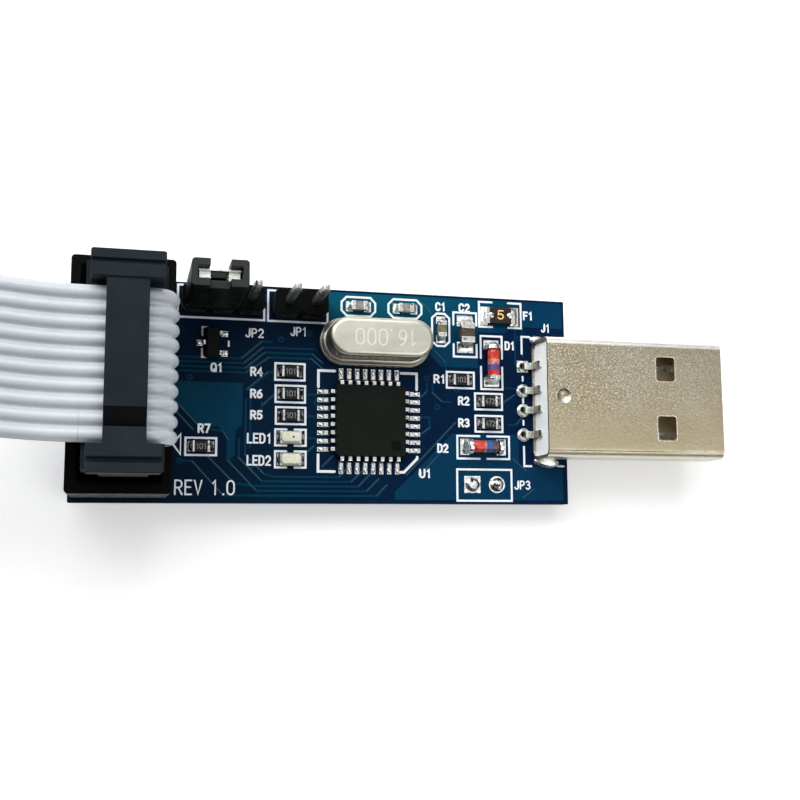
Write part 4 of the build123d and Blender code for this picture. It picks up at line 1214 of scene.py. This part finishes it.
# The free ribbon's route in metres: out of the socket, down to the table as it turns on its edge,
# once round on edge, and inside that turn to the far socket.
LEAD = [
    (-0.03065, 0.0001, 0.01725),
    (-0.0335, 0.0001, 0.01725),
    (-0.0395, 0.0006, 0.018),
    (-0.050, 0.0010, 0.0166),
    (-0.060, 0.0006, 0.0132),
    (-0.070, 0.0001, 0.0096),
    (-0.081, 0.0001, 0.00715),
    (-0.090, 0.0001, 0.00685),
]
COIL_CENTRE, COIL_RADIUS = (-0.090, 0.0311), 0.031
COIL_STEP = 0.0013  # how much the turn closes in on itself
TAIL_CENTRE, TAIL_RADIUS, TAIL_SWEEP = (-0.090, 0.0269), 0.0255, 101
EDGE_Z, TAIL_Z = 0.00685, 0.00904  # the middle of the ribbon on its edge, and at the far socket
TWIST_FROM, TWIST_TO = -0.035, -0.088  # where along X the lead turns on its edge


def ribbon_route():
    """The route's points: the lead, one turn every 18 degrees, and the tail inside it."""
    points = list(LEAD)
    step = 18
    for angle in range(step, 361, step):
        a, share = radians(angle), angle / 360
        radius = COIL_RADIUS - COIL_STEP * share
        points.append((COIL_CENTRE[0] - radius * sin(a), COIL_CENTRE[1] - radius * cos(a), EDGE_Z))
    steps, climb = 6, 4
    for i in range(1, steps + 1):
        a = radians(TAIL_SWEEP * i / steps)
        z = EDGE_Z + (TAIL_Z - EDGE_Z) * min(1.0, i / climb)
        points.append((TAIL_CENTRE[0] - TAIL_RADIUS * sin(a), TAIL_CENTRE[1] - TAIL_RADIUS * cos(a), z))
    return points


def spline_points(points):
    """Points read from a smooth NURBS line through the route."""
    curve = bpy.data.curves.new("route", "CURVE")
    curve.dimensions, curve.resolution_u = "3D", 12
    spline = curve.splines.new("NURBS")
    spline.points.add(len(points) - 1)
    for target, point in zip(spline.points, points):
        target.co = (*point, 1.0)
    spline.order_u = 3
    spline.use_endpoint_u = True
    holder = in_scene("route", curve)
    bpy.context.view_layer.update()
    mesh = bpy.data.meshes.new_from_object(holder.evaluated_get(bpy.context.evaluated_depsgraph_get()))
    found = [v.co.copy() for v in mesh.vertices]
    bpy.data.objects.remove(holder)
    return found


def far_socket_place():
    """The far socket's own axes, with its middle at the mating face, in millimetres."""
    a = radians(TAIL_SWEEP)
    outward, along = Vector((-sin(a), -cos(a), 0)), Vector((-cos(a), sin(a), 0))
    end = Vector((*TAIL_CENTRE, TAIL_Z)) / MM + outward * TAIL_RADIUS / MM
    origin = end - along * EXIT_X - outward * FOLD_HIGH
    side = outward.cross(along)
    turn = Matrix((along, side, outward)).transposed().to_4x4()
    return Matrix.Translation(origin) @ turn


def free_ribbon(far_pieces):
    """The ribbon between the sockets, which turns on its edge along the lead, and its tie."""
    path = spline_points(ribbon_route())
    stations = []
    for i, at in enumerate(path):
        along = (path[min(i + 1, len(path) - 1)] - path[max(i - 1, 0)]).normalized()
        part = 1.0
        if at.y < 0.002:
            part = min(1.0, max(0.0, (TWIST_FROM - at.x) / (TWIST_FROM - TWIST_TO)))
        turn = radians(90) * part * part * (3 - 2 * part)
        level = Vector((0, 0, 1)).cross(along).normalized() * -1
        up = level.cross(along).normalized() * -1
        wide = level * cos(turn) + up * sin(turn)
        out = along.cross(wide)
        stations.append((at / MM, wide, out))
    shape = Shape()
    band(shape, stations)
    ribbon = piece("ribbon_cable", shape, RIBBON, None, sharp=70)
    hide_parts("ribbon_lead", "ribbon_coil", "ribbon_tail")
    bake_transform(ribbon)
    tie = rounded("cable_tie", 0.12, NYLON)


# ------------------------------------------------------------------ camera, floor and light
def camera():
    """Above the header end, looking down and towards the plug."""
    data = bpy.data.cameras.new("camera")
    data.lens, data.sensor_width = 48.77, 36.0
    data.clip_start, data.clip_end = 0.005, 5.0
    made = in_scene("camera", data)
    place, angles = (-0.02717, -0.01406, 0.10574), (-0.1305, 0.2501, 0.0051)
    turn = Matrix.Identity(3)
    for angle, axis in zip(angles, "XYZ"):
        turn = turn @ Matrix.Rotation(angle, 3, axis)
    made.matrix_world = Matrix.Translation(place) @ turn.transposed().to_4x4()
    bpy.context.scene.camera = made


def lamp(name, place, size, power):
    """A soft rectangular lamp that points at the middle of the board."""
    data = bpy.data.lights.new(name, "AREA")
    data.shape, data.size, data.size_y = "RECTANGLE", *size
    data.energy = power
    made = in_scene(name, data)
    made.location = place
    made.rotation_euler = (-Vector(place)).to_track_quat("-Z", "Y").to_euler()


def studio():
    """A near-white table, a room that is brighter overhead and towards +Y, and soft lamps."""
    mesh = bpy.data.meshes.new("floor")
    reach = 6.0
    mesh.from_pydata([(x, y, 0) for x, y in rectangle(0, 0, reach, reach)], [], [(0, 1, 2, 3)])
    floor = in_scene("floor", mesh)
    white = (0.93, 0.93, 0.93, 1.0)
    finish = Finish("floor", white[:3], Roughness=0.7, Specular_IOR_Level=0.1, Emission_Color=white,
                    Emission_Strength=0.32)
    mesh.materials.append(finish.material)
    world = bpy.data.worlds.new("studio")
    bpy.context.scene.world = world
    world.use_nodes = True
    tree = world.node_tree
    coordinates = tree.nodes.new("ShaderNodeTexCoord")
    towards = tree.nodes.new("ShaderNodeVectorMath")
    towards.operation = "DOT_PRODUCT"
    towards.inputs[1].default_value = (-0.1, 0.55, 0.8)
    ramp = tree.nodes.new("ShaderNodeValToRGB")
    tree.links.new(coordinates.outputs["Generated"], towards.inputs[0])
    tree.links.new(towards.outputs["Value"], ramp.inputs["Fac"])
    stops = ramp.color_ramp.elements
    stops[0].position, stops[0].color = 0.0, (0.03, 0.03, 0.032, 1)
    stops[1].position, stops[1].color = 1.0, (1.0, 1.0, 1.0, 1)
    for place, grey in ((0.45, 0.12), (0.7, 0.42)):
        stops.new(place).color = (grey, grey, grey * 1.02, 1)
    tree.links.new(ramp.outputs["Color"], tree.nodes["Background"].inputs["Color"])
    tree.nodes["Background"].inputs["Strength"].default_value = 1.0
    lamp("key", (-0.15, 0.45, 0.5), (0.75, 0.55), 3.4)
    lamp("side", (-0.45, 0.3, 0.22), (0.4, 0.3), 2.1)
    lamp("fill", (0.3, -0.25, 0.5), (0.5, 0.5), 1.5)
    bpy.context.scene.view_settings.view_transform = "Standard"


# ------------------------------------------------------------------ the whole model
camera()
studio()
plain_finishes()
legend()
tracks()
pads()
chip_leads_solder()
hole_pads()
small_parts()
plug()
headers()
socket_base = Vector((middle("header_pins").x, middle("header_pins").y, low("socket_body").z))
socket("socket", "socket", Matrix.Translation(socket_base))
free_ribbon(socket("far_socket", "root", far_socket_place()))
